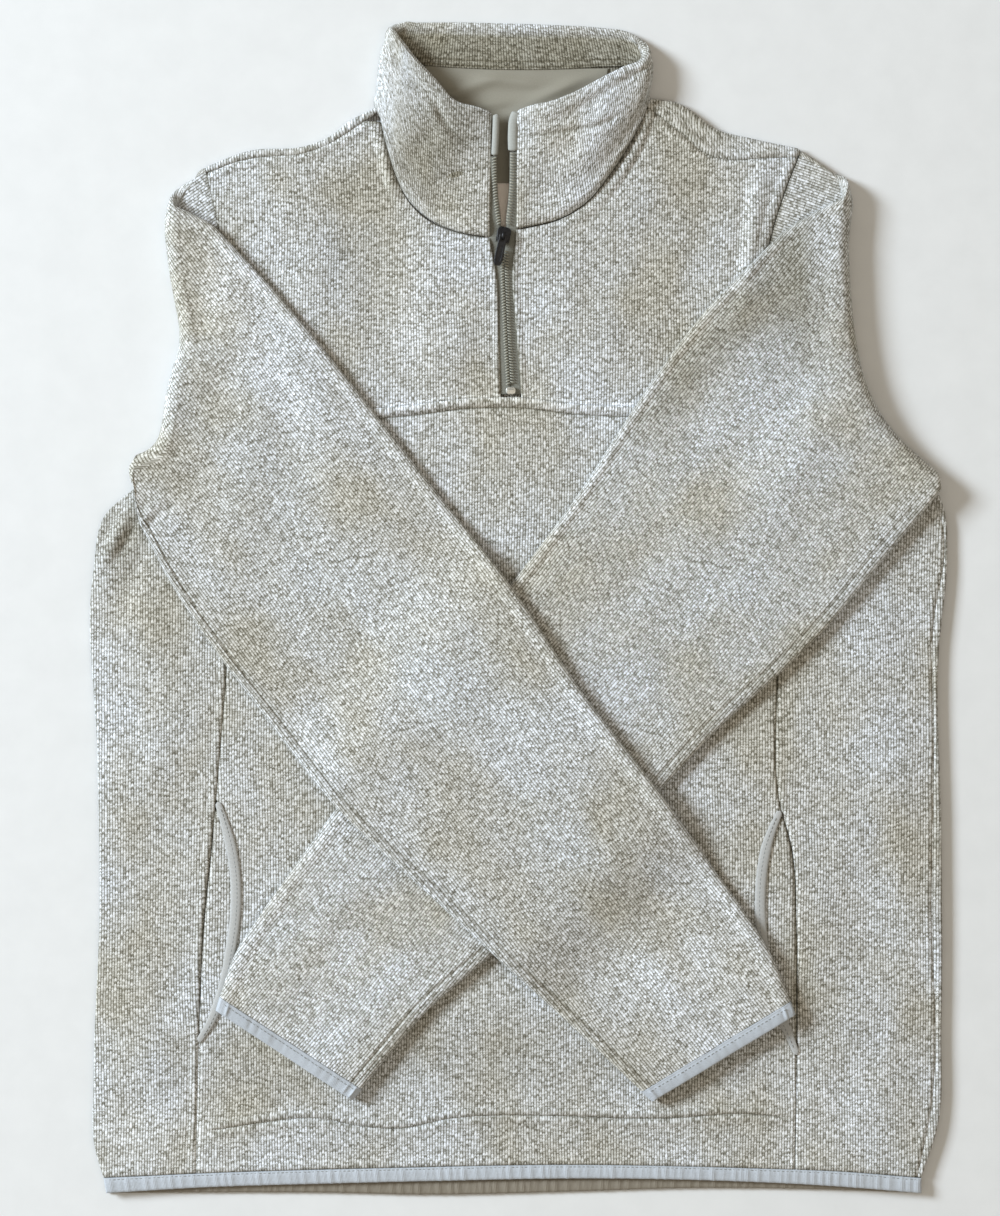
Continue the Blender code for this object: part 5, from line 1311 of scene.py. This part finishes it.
def make_sleeves():
    left = Sleeve(-1, ARM["left"], FOLD_LEFT, SLEEVE_LEFT_UPPER, SLEEVE_LEFT_LOWER, under_left_sleeve)
    right = Sleeve(1, ARM["right"], FOLD_RIGHT, SLEEVE_RIGHT_UPPER, SLEEVE_RIGHT_LOWER, under_right_sleeve)
    for name, sleeve, edge_painted_highlight in (("left", left, 0.2), ("right", right, 0.32)):
        middle, direction, half = sleeve.sections()
        middle = sleeve.capped_shoulder(middle)
        from_upper = running(middle, 1)
        from_lower = from_upper[:, -1:] - from_upper
        away = np.minimum(from_upper, from_lower)
        top = marks(from_lower, UNDERARM_MARKS) * SEAM_DEPTH[name] + marks(from_upper, UPPER_MARKS)
        top = top + folds(SLEEVE_CREASES, middle[..., 0], middle[..., 1]) * smooth_step(away, 0, 8)
        shown = smooth_step(np.arange(len(middle)), TO_FOLD, TO_FOLD + 8)[:, None]
        top = np.maximum(top, -1.3) * shown * smooth_step(away, 0, 1.2)
        outer = tube(middle, direction, half, EDGE_ROUND, top=top)
        inner = tube(middle, direction, half, EDGE_ROUND, 1.8, top * 0.5)
        made = shell(
            f"cloth_sleeve_{name}", outer, inner, *sleeve.knit(middle), KNIT, ring=True, hides=(f"sleeve_{name}",),
        )
        # Painted shade along the lower edge's seam lines, which also stand for the seam itself, and where the edge
        # meets what it lies on; a painted highlight along the upper edge's roll; painted shade at the armhole seam
        # and under both round edges.
        dark = marks(from_lower, ((4.6, 1.1, 0.75), (0.6, 1.0, 0.5))) * SEAM_DEPTH[name]
        dark = (dark - ridge(from_upper, 3.5, 4.5, edge_painted_highlight)) * shown
        dark = dark + ridge(running(middle, 0), 0, SEAM_SHADE, 0.6)
        under = smooth_step(np.degrees(ARC), 60, 140)[None] * shown * 0.9
        shade(made, "seam", np.concatenate([dark, under[:, ::-1], dark[:, ::-1], under], axis=1), -0.4)
        # Painted shade and painted highlight by place.
        tone = np.clip(folds(SLEEVE_PAINTED_LIGHT, outer[..., 0], outer[..., 1]), -0.6, 1)
        shade(made, "inside", tone * shown, -0.6)
        make_cuff(name, middle, direction, half)


def stitch_row(name, line, pitch=3.0, length=2.1, thick=0.6):
    """A row of thread stitches along a line of 3-D points."""
    spots, ahead = spaced(line, pitch)
    up = unit(UP - ahead * (ahead @ UP)[:, None])
    beads(name, spots, np.cross(ahead, up), up, (thick, length, thick), THREAD)


def make_cuff(name, middle, direction, half):
    """The tape round a sleeve's end, with small ridges across it."""
    onward = unit(middle[-1] - middle[-4])
    onward[:, 2] = 0
    rows = fine(9.8, 0.9, (0.2, 0.5, 1.0))
    sections = np.stack([middle[-1] + onward * (0.25 + 9.5 * share) for share in rows])
    facing = np.stack([direction[-1]] * len(rows))
    bulge = 0.35 * rounded(np.minimum(rows, 1 - rows) * CUFF_WIDTH, 1.6, 0.0) - ridge(rows, 0.16, 0.07, 0.4)
    thick = half[-1][None] + bulge[:, None]
    outer = tube(sections, facing, thick, EDGE_ROUND + CUFF_PROUD)
    inner = tube(sections, facing, thick, EDGE_ROUND + CUFF_PROUD, 2.0)
    girth = running(np.concatenate([outer, outer[:, :1]], axis=1), 1)
    seed = 21 if name == "left" else 22
    waves = ripple(girth[:1] + 0 * girth, seed, 5.0, 1.3)[:, :-1] * np.sin(np.pi * rows)[:, None] ** 0.7
    outer[..., 2] += np.sign(outer[..., 2] - sections.mean(axis=1, keepdims=True)[..., 2]) * waves
    count = middle.shape[1] + len(ARC)
    row = int(np.argmin(np.abs(rows - 0.3)))
    stitch_row(f"stitch_cuff_{name}", outer[row, count + 2 : count + middle.shape[1] - 2])
    v = np.broadcast_to(rows[:, None] * CUFF_WIDTH, girth.shape)
    shell(f"tape_cuff_{name}", outer, inner, girth, v, BINDING, ring=True, hides=(f"cuff_binding_{name}",))


# Collar

COLLAR_THICK = 1.3  # from the middle of the outer cloth to its face
FACING_DEEP = 3.7  # from there to the face of the inner layer
FACING_FROM = 0.47  # share of the collar's height where the inner layer ends
COLLAR_LENGTH = 430.0
COLLAR_HEIGHT = 70.0

# How far the collar's top edge is moved at some of its sections, against the lean of the picture: x, y.
COLLAR_SHIFT = {
    0: (0.0, -1.2), 1: (-0.6, -2.6), 2: (-2.6, -3.9), 3: (-3.4, -3.4), 4: (-3.0, -2.8), 5: (-2.4, -2.0),
    6: (-2.2, -0.8), 7: (-2.0, 0.6), 8: (-1.6, 1.0), 9: (-0.8, 1.2), 18: (1.0, -1.2), 19: (1.0, -2.4),
    20: (0.9, -2.9), 21: (0.6, -2.9), 22: (0.3, -1.6),
}
# Dents of its outer face, with the columns of the folds
COLLAR_DENTS = (
    (-82, 725, 72, 60, 16, 3.2),
    (-40, 698, 62, 52, 16, -2.6),
    (66, 735, 60, 55, 16, 2.2),
    (22, 695, 60, 45, 13, -1.8),
    (-66, 715, 60, 26, 7, -0.9),
    (-50, 745, 50, 20, 6, 0.8),
    (-72, 745, 70, 24, 6, -0.7),
    (40, 705, 42, 30, 8, 1.1),
    (28, 690, 30, 24, 6, -0.6),
    (60, 742, 55, 26, 7, 0.8),
    (70, 752, 60, 24, 5, -0.7),
    (-30, 680, 20, 22, 8, 0.7),
    (10, 730, 10, 22, 6, 0.5),
)


def collar_surface(share, rises):
    """The middle of the collar's cloth at shares of the way round it and of its height."""
    table = np.array(COLLAR)
    for section, shift in COLLAR_SHIFT.items():
        table[section, 3:5] += shift
    way = shares_of(table[:, :2] * 0.5 + table[:, 3:5] * 0.5)
    curve = Path(np.concatenate([table, way[:, None] * 300], axis=1)).points
    rows = read(curve, curve[:, 6] / 300, share)
    x, y, level = rows[:, :3].T
    bottom = raised(rows[:, :2], BACK_MID + level * (front_mid(x, y) - BACK_MID))
    rise = rises[None, :, None]
    sheet = bottom[:, None] * (1 - rise) + rows[:, None, 3:6] * rise
    sheet[..., 2] += COLLAR_BULGE * level[:, None] ** 2 * np.sin(np.pi * rises)
    from_middle = x - NECK_CENTRE[0]
    beside = smooth_step(np.abs(from_middle), 62, 84) * smooth_step(y, 690, 735)
    sheet[..., 0] += (np.sign(from_middle) * SIDE_BULGE * beside)[:, None] * np.sin(np.pi * rises**1.5)
    return sheet, level[:, None]


def collar_crease(line, x, y, ease):
    """The distance to a stitched crease, and its strength, which fades towards its ends."""
    away, share = Path(line).near(x, y)
    return away, smooth_step(share, 0.0, ease) * (1 - smooth_step(share, 1 - ease, 1.0))


def collar_relief(x, y):
    """Stitched creases and soft dents of the collar's outer face."""
    relief = folds(COLLAR_DENTS, x, y)
    for line, deep in ((COLLAR_CREASE_LEFT, 1.0), (COLLAR_CREASE_RIGHT, 0.8), (COLLAR_LOW_CREASE, 0.4)):
        away, ends = collar_crease(line, x, y, 0.1)
        relief += ends * deep * marks(away, CREASE_MARKS)
    return relief


def make_collar():
    """The outer cloth, rolled over the top edge into the inner layer, as one closed band of sections."""
    share = fine(COLLAR_LENGTH, 1.7)
    rises = np.concatenate([[0, 0.006, 0.015], np.linspace(0.03, 1.0, 44)])
    sheet, level = collar_surface(share, rises)
    x, y = sheet[..., 0], sheet[..., 1]
    out = normals_of(sheet)
    if out[len(share) // 2, 10, 2] > 0:
        out = -out
    upward = unit(sheet[:, -1] - sheet[:, -4])
    from_base, from_top = rises[None] * COLLAR_HEIGHT, (1 - rises[None]) * COLLAR_HEIGHT
    roll = marks(from_top, ((4.5, 3.2, 1.0), (11.0, 3.0, -0.7))) + ridge(from_base, 6.0, 4.5, 1.6)
    slim = rounded(np.minimum(share, 1 - share) * COLLAR_LENGTH, 2.0, 0.3)[:, None]
    thick = (COLLAR_THICK + roll * level) * rounded(from_base, 2.2, 0.15) * slim + collar_relief(x, y) * level
    outer = sheet + out * thick[..., None]
    radius = (COLLAR_THICK + FACING_DEEP) / 2
    centre = sheet[:, -1] - out[:, -1] * (FACING_DEEP - COLLAR_THICK) / 2 - upward * 0.6
    over = np.stack([
        centre + (out[:, -1] * math.cos(angle) * radius + upward * math.sin(angle) * radius * 0.85) * slim
        for angle in np.radians(range(12, 180, 14))
    ], axis=1)
    inside = rises[(rises > FACING_FROM) & (rises < 0.985)][::-1]
    index = np.searchsorted(rises, inside)
    along = running(sheet[:, :1], 0)
    deep = FACING_DEEP * slim - marks(inside[None], ((0.505, 0.015, 0.45), (0.575, 0.015, 0.45)))
    deep = deep + marks(inside[None], ((0.96, 0.03, 0.9), (0.89, 0.025, -0.7))) * slim
    deep = deep + 0.35 * np.sin(along * 0.11) * np.sin(np.pi * (inside[None] - FACING_FROM) / 0.52)
    inner = sheet[:, index] - out[:, index] * deep[..., None]
    foot, foot_out = sheet[:, index[-1]], out[:, index[-1]]
    seam_edge = np.stack([
        foot - foot_out * FACING_DEEP * depth - upward * 0.7 * math.sqrt(1 - depth**2) for depth in (0.9, 0.62, 0.4)
    ], axis=1)
    index = np.searchsorted(rises, rises[rises <= FACING_FROM - 0.015][::-1])
    hidden = sheet[:, index] - out[:, index] * (COLLAR_THICK * 0.9 * slim)[..., None]
    rings = np.concatenate([outer, over, inner, seam_edge, hidden], axis=1)
    count = rings.shape[1]
    height = running(np.concatenate([rings, rings[:, :1]], axis=1), 1)
    way = np.broadcast_to(running(rings[:, 20:21], 0), height.shape)
    ends = [np.stack([0 * row, row], axis=-1) for row in (height[0, :-1], height[-1, :-1][::-1])]
    uv = np.concatenate([ring_knit(way, height), *ends])
    faces = capped(rings)
    faces[-2:] = [face[::-1] for face in faces[-2:]]
    made = closed_mesh("cloth_collar", rings.reshape(-1, 3), faces, KNIT, uv, hides=("collar", "collar_facing"))
    face, first = len(rises), len(rises) + over.shape[1]
    # Painted shade on the inner face inside the collar, and painted shade and highlight by place on the front's
    # outer face.
    collar_painted_light = np.tile(smooth_step(np.arange(count) - first, 1, 6), (len(share), 1))
    collar_painted_light[:, :face] = folds(COLLAR_PAINTED_LIGHT, x, y) * level
    shade(made, "inside", collar_painted_light, -0.6)
    # Painted shade along the collar's base beside its sides, lightened towards the zip, and in its stitched creases
    # and the facing's stitch rows, which also stand for their own stitched lines.
    dark = np.zeros((len(share), count))
    beside = 0.1 + 0.9 * smooth_step(sheet[:, :1, 1], 672, 708)
    dark[:, :face] = ridge(from_base, 0, 4.0, 1) * beside - ridge(from_base, 5, 3, 0.3) * (1 - beside)
    for line, deep in ((COLLAR_CREASE_LEFT, 0.55), (COLLAR_CREASE_RIGHT, 0.45)):
        away, ends = collar_crease(line, x, y, 0.15)
        dark[:, :face] += ends * ridge(away, 0, 1.5, deep) * (level > 0.9)
    for row, deep in ((0.505, 0.8), (0.575, 0.8), (0.69, 0.35)):
        dark[:, first : first + len(inside)] += deep * (np.abs(inside - row) < 0.012)
    shade(made, "seam", dark, -0.3)


LINING_CREASES = (
    (-40, 752, 20, 26, 4, 2.2),
    (-25, 742, 8, 30, 4, 1.6),
    (25, 752, 24, 24, 4, 2.3),
    (38, 744, 30, 20, 3, 1.6),
    (-5, 758, -6, 26, 4, 1.8),
    (10, 738, 14, 30, 5, 1.8),
    (-10, 715, 60, 20, 5, 0.5),
)
LINING_TOP = ((-72, 769.5), (-8, 767.5), (60, 767.5))
LINING_FOOT = ((-58, 648), (-8, 632), (44, 648))
LABEL_AT = (-24, 643)
LABEL_SIZE = (24, 46)


def make_lining():
    columns = fine(130, 1.6, (0.2, 0.5, 1.0))
    rows = fine(125, 1.6, (0.2, 0.5, 1.0))
    flat = between(Path(LINING_FOOT).at(columns), Path(LINING_TOP).at(columns), rows)
    wave = np.maximum(folds(LINING_CREASES, flat[..., 0], flat[..., 1]), -0.25)
    sheet = raised(flat, 3.5 + wave * smooth_step(border_distance(flat), 0, 8))
    cloth("lining_neck", sheet, LINING, thickness=0.8, edge=0.5, hides=("neck_lining",))
    x, y = np.meshgrid(*(start + size * fine(size, 1.2, (0.2, 0.5)) for start, size in zip(LABEL_AT, LABEL_SIZE)))
    level = 4.75 + np.maximum(folds(LINING_CREASES, x, y), -0.2)
    level = level + 0.25 * np.sin((x - LABEL_AT[0]) / LABEL_SIZE[0] * math.pi)
    label = np.stack([x, y, level], axis=-1)
    cloth("label_blank", label, LABEL, thickness=0.5, gap=0.0, edge=0.4, hides=("neck_label",))


# Zip

OPEN_COIL = (1.15, 3.6, 1.8)  # a tooth's length along the zip, width and height
CLOSED_COIL = (1.15, 3.4, 1.8)
COIL_APART = 1.5  # from the zip's middle to the middle of each closed row
GARAGE_WIDTH = {"left": 2.3, "right": 3.4}  # from each garage's middle line to its side
GARAGE_HEIGHT = 1.8  # and to its top
TAPE_UNDER = 1.6  # how far a tape reaches under the cloth
TAPE_OPEN = 1.9  # how far a tape's edge is from the middle of its open teeth


def opening_height(x, y):
    """The height of the middle of the cloth beside the zip: the front's, then up the collar's edge."""
    table = np.array(COLLAR)
    base_y, top_y = (table[0, 1] + table[-1, 1]) / 2, (table[0, 4] + table[-1, 4]) / 2
    rise = np.clip((y - base_y) / (top_y - base_y), 0, 1)
    base = front_mid(np.asarray(x), np.minimum(y, base_y))
    return base * (1 - rise) + table[0, 5] * rise + COLLAR_BULGE * np.sin(np.pi * rise)


def at_heights(line, rows):
    """The places where a rising line passes given heights up the garment."""
    return np.stack([np.interp(rows, line[:, 1], line[:, 0]), rows], axis=-1)


def beads(name, centres, ahead, up, size, look, slant=0.0, **how):
    """Small rounded bars in a row, each across its own heading, as one mesh. Size is length, width, height."""
    length, width, height = size
    up = np.broadcast_to(up, ahead.shape)
    lean = unit(unit(np.cross(ahead, up)) + slant * ahead)
    place_on = np.linspace(-1, 1, 6)[:, None]
    angle = np.linspace(0, 2 * math.pi, 8, endpoint=False)
    swell = np.sqrt(np.maximum(1 - place_on**4, 0.05)) / 2
    rings = centres[:, None, None] + lean[:, None, None] * (place_on * width / 2)[..., None]
    rings = rings + ahead[:, None, None] * (np.cos(angle) * length * swell)[..., None]
    points, faces = stacked(rings + up[:, None, None] * (np.sin(angle) * height * swell)[..., None])
    closed_mesh(name, points, faces, look, **how)


def spaced(line, pitch):
    """Points a pitch apart along a line, and its heading at each."""
    total = np.linalg.norm(np.diff(line, axis=0), axis=1).sum()
    count = max(int(total / pitch), 2)
    share = (np.arange(count) + 0.5) / count
    after, before = along_line(line, np.minimum(share + 0.5 / count, 1)), along_line(line, share - 0.5 / count)
    return along_line(line, share), unit(after - before)


def coil_line(rows, lift):
    flat = Path(rows).at(np.linspace(0, 1, 60))
    return raised(flat, opening_height(*flat.T) + lift)


def make_zip():
    lift = TEETH_LIFT + COIL_WALL / 2
    for side, teeth, garage, turn in (
        ("left", TEETH_LEFT, GARAGE_LEFT, 1), ("right", TEETH_RIGHT, GARAGE_RIGHT, -1),
    ):
        rows = ZIP_FOOT + (ZIP_HEAD[side] - ZIP_FOOT) * fine(160, 1.0, (0.2, 0.5))
        outer = at_heights(np.concatenate([ZIP_EDGE[side].points, [COLLAR_EDGE[side]]]), rows)
        outer[:, 0] += (TAPE_OUTSET - TAPE_UNDER) * turn
        inner = at_heights(np.concatenate([Path(SPINE).points, Path(teeth).points[::-1]]), rows)
        inner[:, 0] += np.interp(rows, ZIP_SPLIT, (-TAPE_MEET * 0.3, TAPE_OPEN)) * turn
        share = np.linspace(0, 1, 9)[None, :, None]
        flat = outer[:, None] * (1 - share) + inner[:, None] * share
        sheet = raised(flat, opening_height(flat[..., 0], flat[..., 1]) - TAPE_DROP)
        cloth(f"tape_zip_{side}", sheet, ZIP_TAPE, thickness=0.9, gap=0.0, edge=0.45, hides=(f"zip_tape_{side}",))
        spots, ahead = spaced(coil_line(teeth, lift), COIL_PITCH)
        beads(f"coil_open_{side}", spots, ahead, UP, OPEN_COIL, COIL, 0.25 * turn, hides=(f"zip_teeth_{side}",))
        tube_along(
            f"tape_garage_{side}", coil_line(garage, 0.3), GARAGE_WIDTH[side], GARAGE_HEIGHT, GARAGE, 34, 16, 1.4,
            hides=(f"zip_garage_{side}",),
        )
    spots, ahead = spaced(coil_line(CHAIN, lift), COIL_PITCH)
    side = COIL_APART * unit(np.cross(ahead, UP))
    beads("coil_closed_left", spots - side, ahead, UP, CLOSED_COIL, COIL, -0.3, hides=("zip_chain",))
    beads("coil_closed_right", spots + side + ahead * 0.95, ahead, UP, CLOSED_COIL, COIL, 0.3)


# Slider, pull tab and stop

TAB_NARROW = 5.3  # its width at the slider
TAB_FLARE = 1.2  # how much wider it is at its free end
TAB_HALF = 0.65  # half its thickness


def turned(points, at, dip=0.0):
    """Points in the slider's own frame, in millimetres, turned with the zip and set at a place in the tables."""
    x, y, z = points.T
    y, z = y * math.cos(dip) - z * math.sin(dip), y * math.sin(dip) + z * math.cos(dip)
    across = x * math.cos(TAB_SWING) - y * math.sin(TAB_SWING)
    along = x * math.sin(TAB_SWING) + y * math.cos(TAB_SWING)
    return np.stack([across, along, z], axis=-1) + at


def plate(outline, low, high, bevel):
    """Rings of a plate with a rounded rim, from an outline about its middle."""
    turn = np.linspace(0, math.pi / 2, 4)
    inward = bevel * (1 - np.concatenate([np.sin(turn), np.cos(turn)]))
    level = np.concatenate([low + bevel * (1 - np.cos(turn)), high - bevel * (1 - np.sin(turn))])
    ahead = unit(np.roll(outline, -1, axis=0) - np.roll(outline, 1, axis=0))
    inside = np.stack([-ahead[:, 1], ahead[:, 0]], axis=-1)
    if np.mean(np.sum(inside * (outline.mean(axis=0) - outline), axis=-1)) < 0:
        inside = -inside
    return raised(outline + inside * inward[:, None, None], level[:, None])


def egg(front, back, wide, narrow, count=40):
    """An outline from a wide end to a narrow one."""
    angle = np.linspace(0, 2 * math.pi, count, endpoint=False)
    y = np.where(np.sin(angle) > 0, front, back) * np.abs(np.sin(angle)) ** 0.8 * np.sign(np.sin(angle))
    width = narrow + (wide - narrow) * smooth_step((y + back) / (front + back), 0, 1)
    x = np.sign(np.cos(angle)) * np.abs(np.cos(angle)) ** 0.55 * width / 2
    return np.stack([x, y], axis=-1)


def arch_rings(half, rise, width, thick):
    """Rings along an arch over the slider, from one foot to the other."""

    def middle(angle):
        level = rise * np.maximum(np.sin(angle), 0) ** 0.45
        return np.stack([0 * angle, -half * np.cos(angle), level], axis=-1)

    angle = np.linspace(0, math.pi, 17)
    ahead = unit(middle(angle + 0.05) - middle(angle - 0.05))
    out = np.stack([0 * angle, -ahead[:, 2], ahead[:, 1]], axis=-1)
    turn = np.linspace(0, 2 * math.pi, 10, endpoint=False)
    rings = middle(angle)[:, None] + out[:, None] * (thick / 2 * np.sin(turn))[:, None]
    rings[..., 0] += width / 2 * np.cos(turn)
    return rings


def make_slider():
    wall = egg(5.0, 4.6, 1.2, 1.2, 24)
    arch = arch_rings(2.65, 2.9, 1.9, 0.6)
    arch[..., 2] -= 0.1
    points, faces = stacked([
        plate(egg(6.0, 5.9, 10.4, 7.6), -1.15, 0.0, 0.45),
        plate(egg(5.8, 5.6, 10.2, 7.8), -2.2, -1.5, 0.3),
        plate(wall + (-4.1, -0.4), -2.0, -0.3, 0.2),
        plate(wall + (4.1, -0.4), -2.0, -0.3, 0.2),
        arch,
    ])
    closed_mesh("slider_body", turned(points, (*SLIDER_AT, SLIDER_TOP)), faces, ENAMEL, hides=("zip_slider",))
    make_tab((*SLIDER_AT, SLIDER_TOP + TAB_AXIS_RISE))


def make_tab(hinge):
    """The pull tab: a bevelled plate with an eye at the slider and a shallow dish near its free end."""
    angle = np.linspace(0, 2 * math.pi, 48, endpoint=False)
    sine = np.abs(np.sin(angle))
    y = np.where(np.sin(angle) > 0, 0.65 * sine**0.5, (0.3 - TAB_LENGTH) * sine**0.42)
    width = TAB_NARROW + TAB_FLARE * smooth_step(-y / TAB_LENGTH, 0.1, 0.9)
    x = np.sign(np.cos(angle)) * np.abs(np.cos(angle)) ** 0.4 * width / 2
    parts = [("tab_plate", plate(np.stack([x, y], axis=-1), -TAB_HALF, TAB_HALF, 0.4))]
    for name, front, length, wide, low in (("eye", -0.7, 3.6, 3.1, -2.0), ("dish", -7.2, 11.2, 3.4, 0.38)):
        outline = egg(length / 2, length / 2, wide, wide, 28) + (0, front - length / 2)
        parts.append((name, plate(outline, low, 2.0, 0.15)))
    made = [link(name, outward_mesh(name, rings.reshape(-1, 3), capped(rings))) for name, rings in parts]
    for cutter in made[1:]:
        change = made[0].modifiers.new(cutter.name, "BOOLEAN")
        change.operation = "DIFFERENCE"
        change.solver = "EXACT"
        change.object = cutter
    bpy.context.view_layer.update()
    solid = bpy.data.meshes.new_from_object(made[0].evaluated_get(bpy.context.evaluated_depsgraph_get()))
    points = np.array([tuple(vert.co) for vert in solid.vertices])
    faces = [list(face.vertices) for face in solid.polygons]
    for old in made:
        bpy.data.objects.remove(old)
    closed_mesh("tab_enamel", turned(points, hinge, TAB_DIP), faces, ENAMEL, body=TAB, hides=("pull_tab",))


def make_stop():
    bar = egg(0.7, 0.7, 4.6, 4.6, 24) + (0, 0.2)
    points, faces = stacked([plate(egg(2.6, 2.6, 6.8, 6.8, 32), 0.0, 2.2, 0.5), plate(bar, 1.9, 2.45, 0.2)])
    at = (*STOP_AT, float(opening_height(*STOP_AT)) + 0.4)
    closed_mesh("stop_metal", points + at, faces, STOP, hides=("zip_stop",))


def make_stitches():
    hem, edge = (Path(rows).at(np.linspace(0.005, 0.995, 300)) for rows in (HEM_FRONT, HEM_FRONT_EDGE))
    stitch_row("stitch_hem", on_front(hem * 0.86 + edge * 0.14, 1.1))
    for side, turn in (("left", -1), ("right", 1)):
        line = Path(POCKET[side]).offset(0.6 * turn).at(np.linspace(0.03, 0.97, 80))
        stitch_row(f"stitch_pocket_{side}", on_front(line, WALL / 2 + 1.45))


# Camera, lights and floor

PICTURE_HEIGHT = 1216 * 0.68  # millimetres that the photograph covers at the front's height
PICTURE_CENTRE = (-13.94, 399.84)
SENSOR = 36
CAMERA_HEIGHT = 2.4
FRONT_HEIGHT = 0.0075
FLOOR_REACH = 6.0
FLOOR_DOWN = 0.0003  # how far the floor is below the garment


def make_camera():
    camera = link("camera", bpy.data.cameras.new("camera"))
    camera.data.sensor_width = SENSOR
    camera.data.lens = SENSOR * (CAMERA_HEIGHT - FRONT_HEIGHT) / (PICTURE_HEIGHT * 0.001)
    camera.location = (*scene_point((*PICTURE_CENTRE, 0))[:2], CAMERA_HEIGHT)
    camera.data.clip_start = 0.05
    bpy.context.scene.camera = camera


def area_light(name, at, size, power, colour):
    """A window or lamp that looks at the middle of the garment."""
    lamp = bpy.data.lights.new(name, "AREA")
    lamp.shape = "RECTANGLE"
    lamp.size, lamp.size_y = size
    lamp.energy = power
    lamp.color = colour
    made = link(name, lamp)
    made.location = at
    made.rotation_mode = "QUATERNION"
    made.rotation_quaternion = (-Vector(at)).to_track_quat("-Z", "Y")


def make_light():
    area_light("window", (-4.0, 1.5, 2.5), (1.7, 1.4), 375.0, (0.80, 0.90, 1.0))
    area_light("ceiling", (0.6, -0.5, 3.2), (2.4, 2.4), 16.0, (1.0, 0.90, 0.76))
    world = bpy.data.worlds.new("room")
    world.use_nodes = True
    inputs = world.node_tree.nodes["Background"].inputs
    inputs["Color"].default_value = (1.0, 0.92, 0.79, 1.0)
    inputs["Strength"].default_value = 0.36
    bpy.context.scene.world = world
    bpy.context.scene.view_settings.view_transform = "Standard"


def make_floor():
    mesh = bpy.data.meshes.new("floor")
    corners = ((-1, -1), (1, -1), (1, 1), (-1, 1))
    mesh.from_pydata([(x * FLOOR_REACH, y * FLOOR_REACH, 0) for x, y in corners], [], [[0, 1, 2, 3]])
    look = Looks("pale_floor")
    grain = look.noise(look.where(), 40.0, 3.0, 0.6)
    shown = look.ramp(grain, ((0.3, (0.70, 0.70, 0.69)), (0.7, (0.73, 0.73, 0.72))))
    mesh.materials.append(look.done(shown, 0.8, 0.5))
    floor = link("floor", mesh)
    floor.location = (0, 0, -FLOOR_DOWN)


make_camera()
make_light()
make_floor()
for cut_side, cut_edge in (("left", SIDE_LEFT), ("right", SIDE_RIGHT)):
    make_side_front(cut_side, cut_edge)
make_centre_front()
make_back()
make_yoke("left")
make_yoke("right")
make_hem("front", HEM_FRONT, HEM_FRONT_EDGE, front_level, 11, BINDING)
make_hem("back", HEM_BACK, HEM_BACK_EDGE, lambda x, y: 1.45, 12, HEM_BINDING_IN_SHADE)
make_pockets()
make_sleeves()
make_collar()
make_lining()
make_zip()
make_slider()
make_stop()
make_stitches()
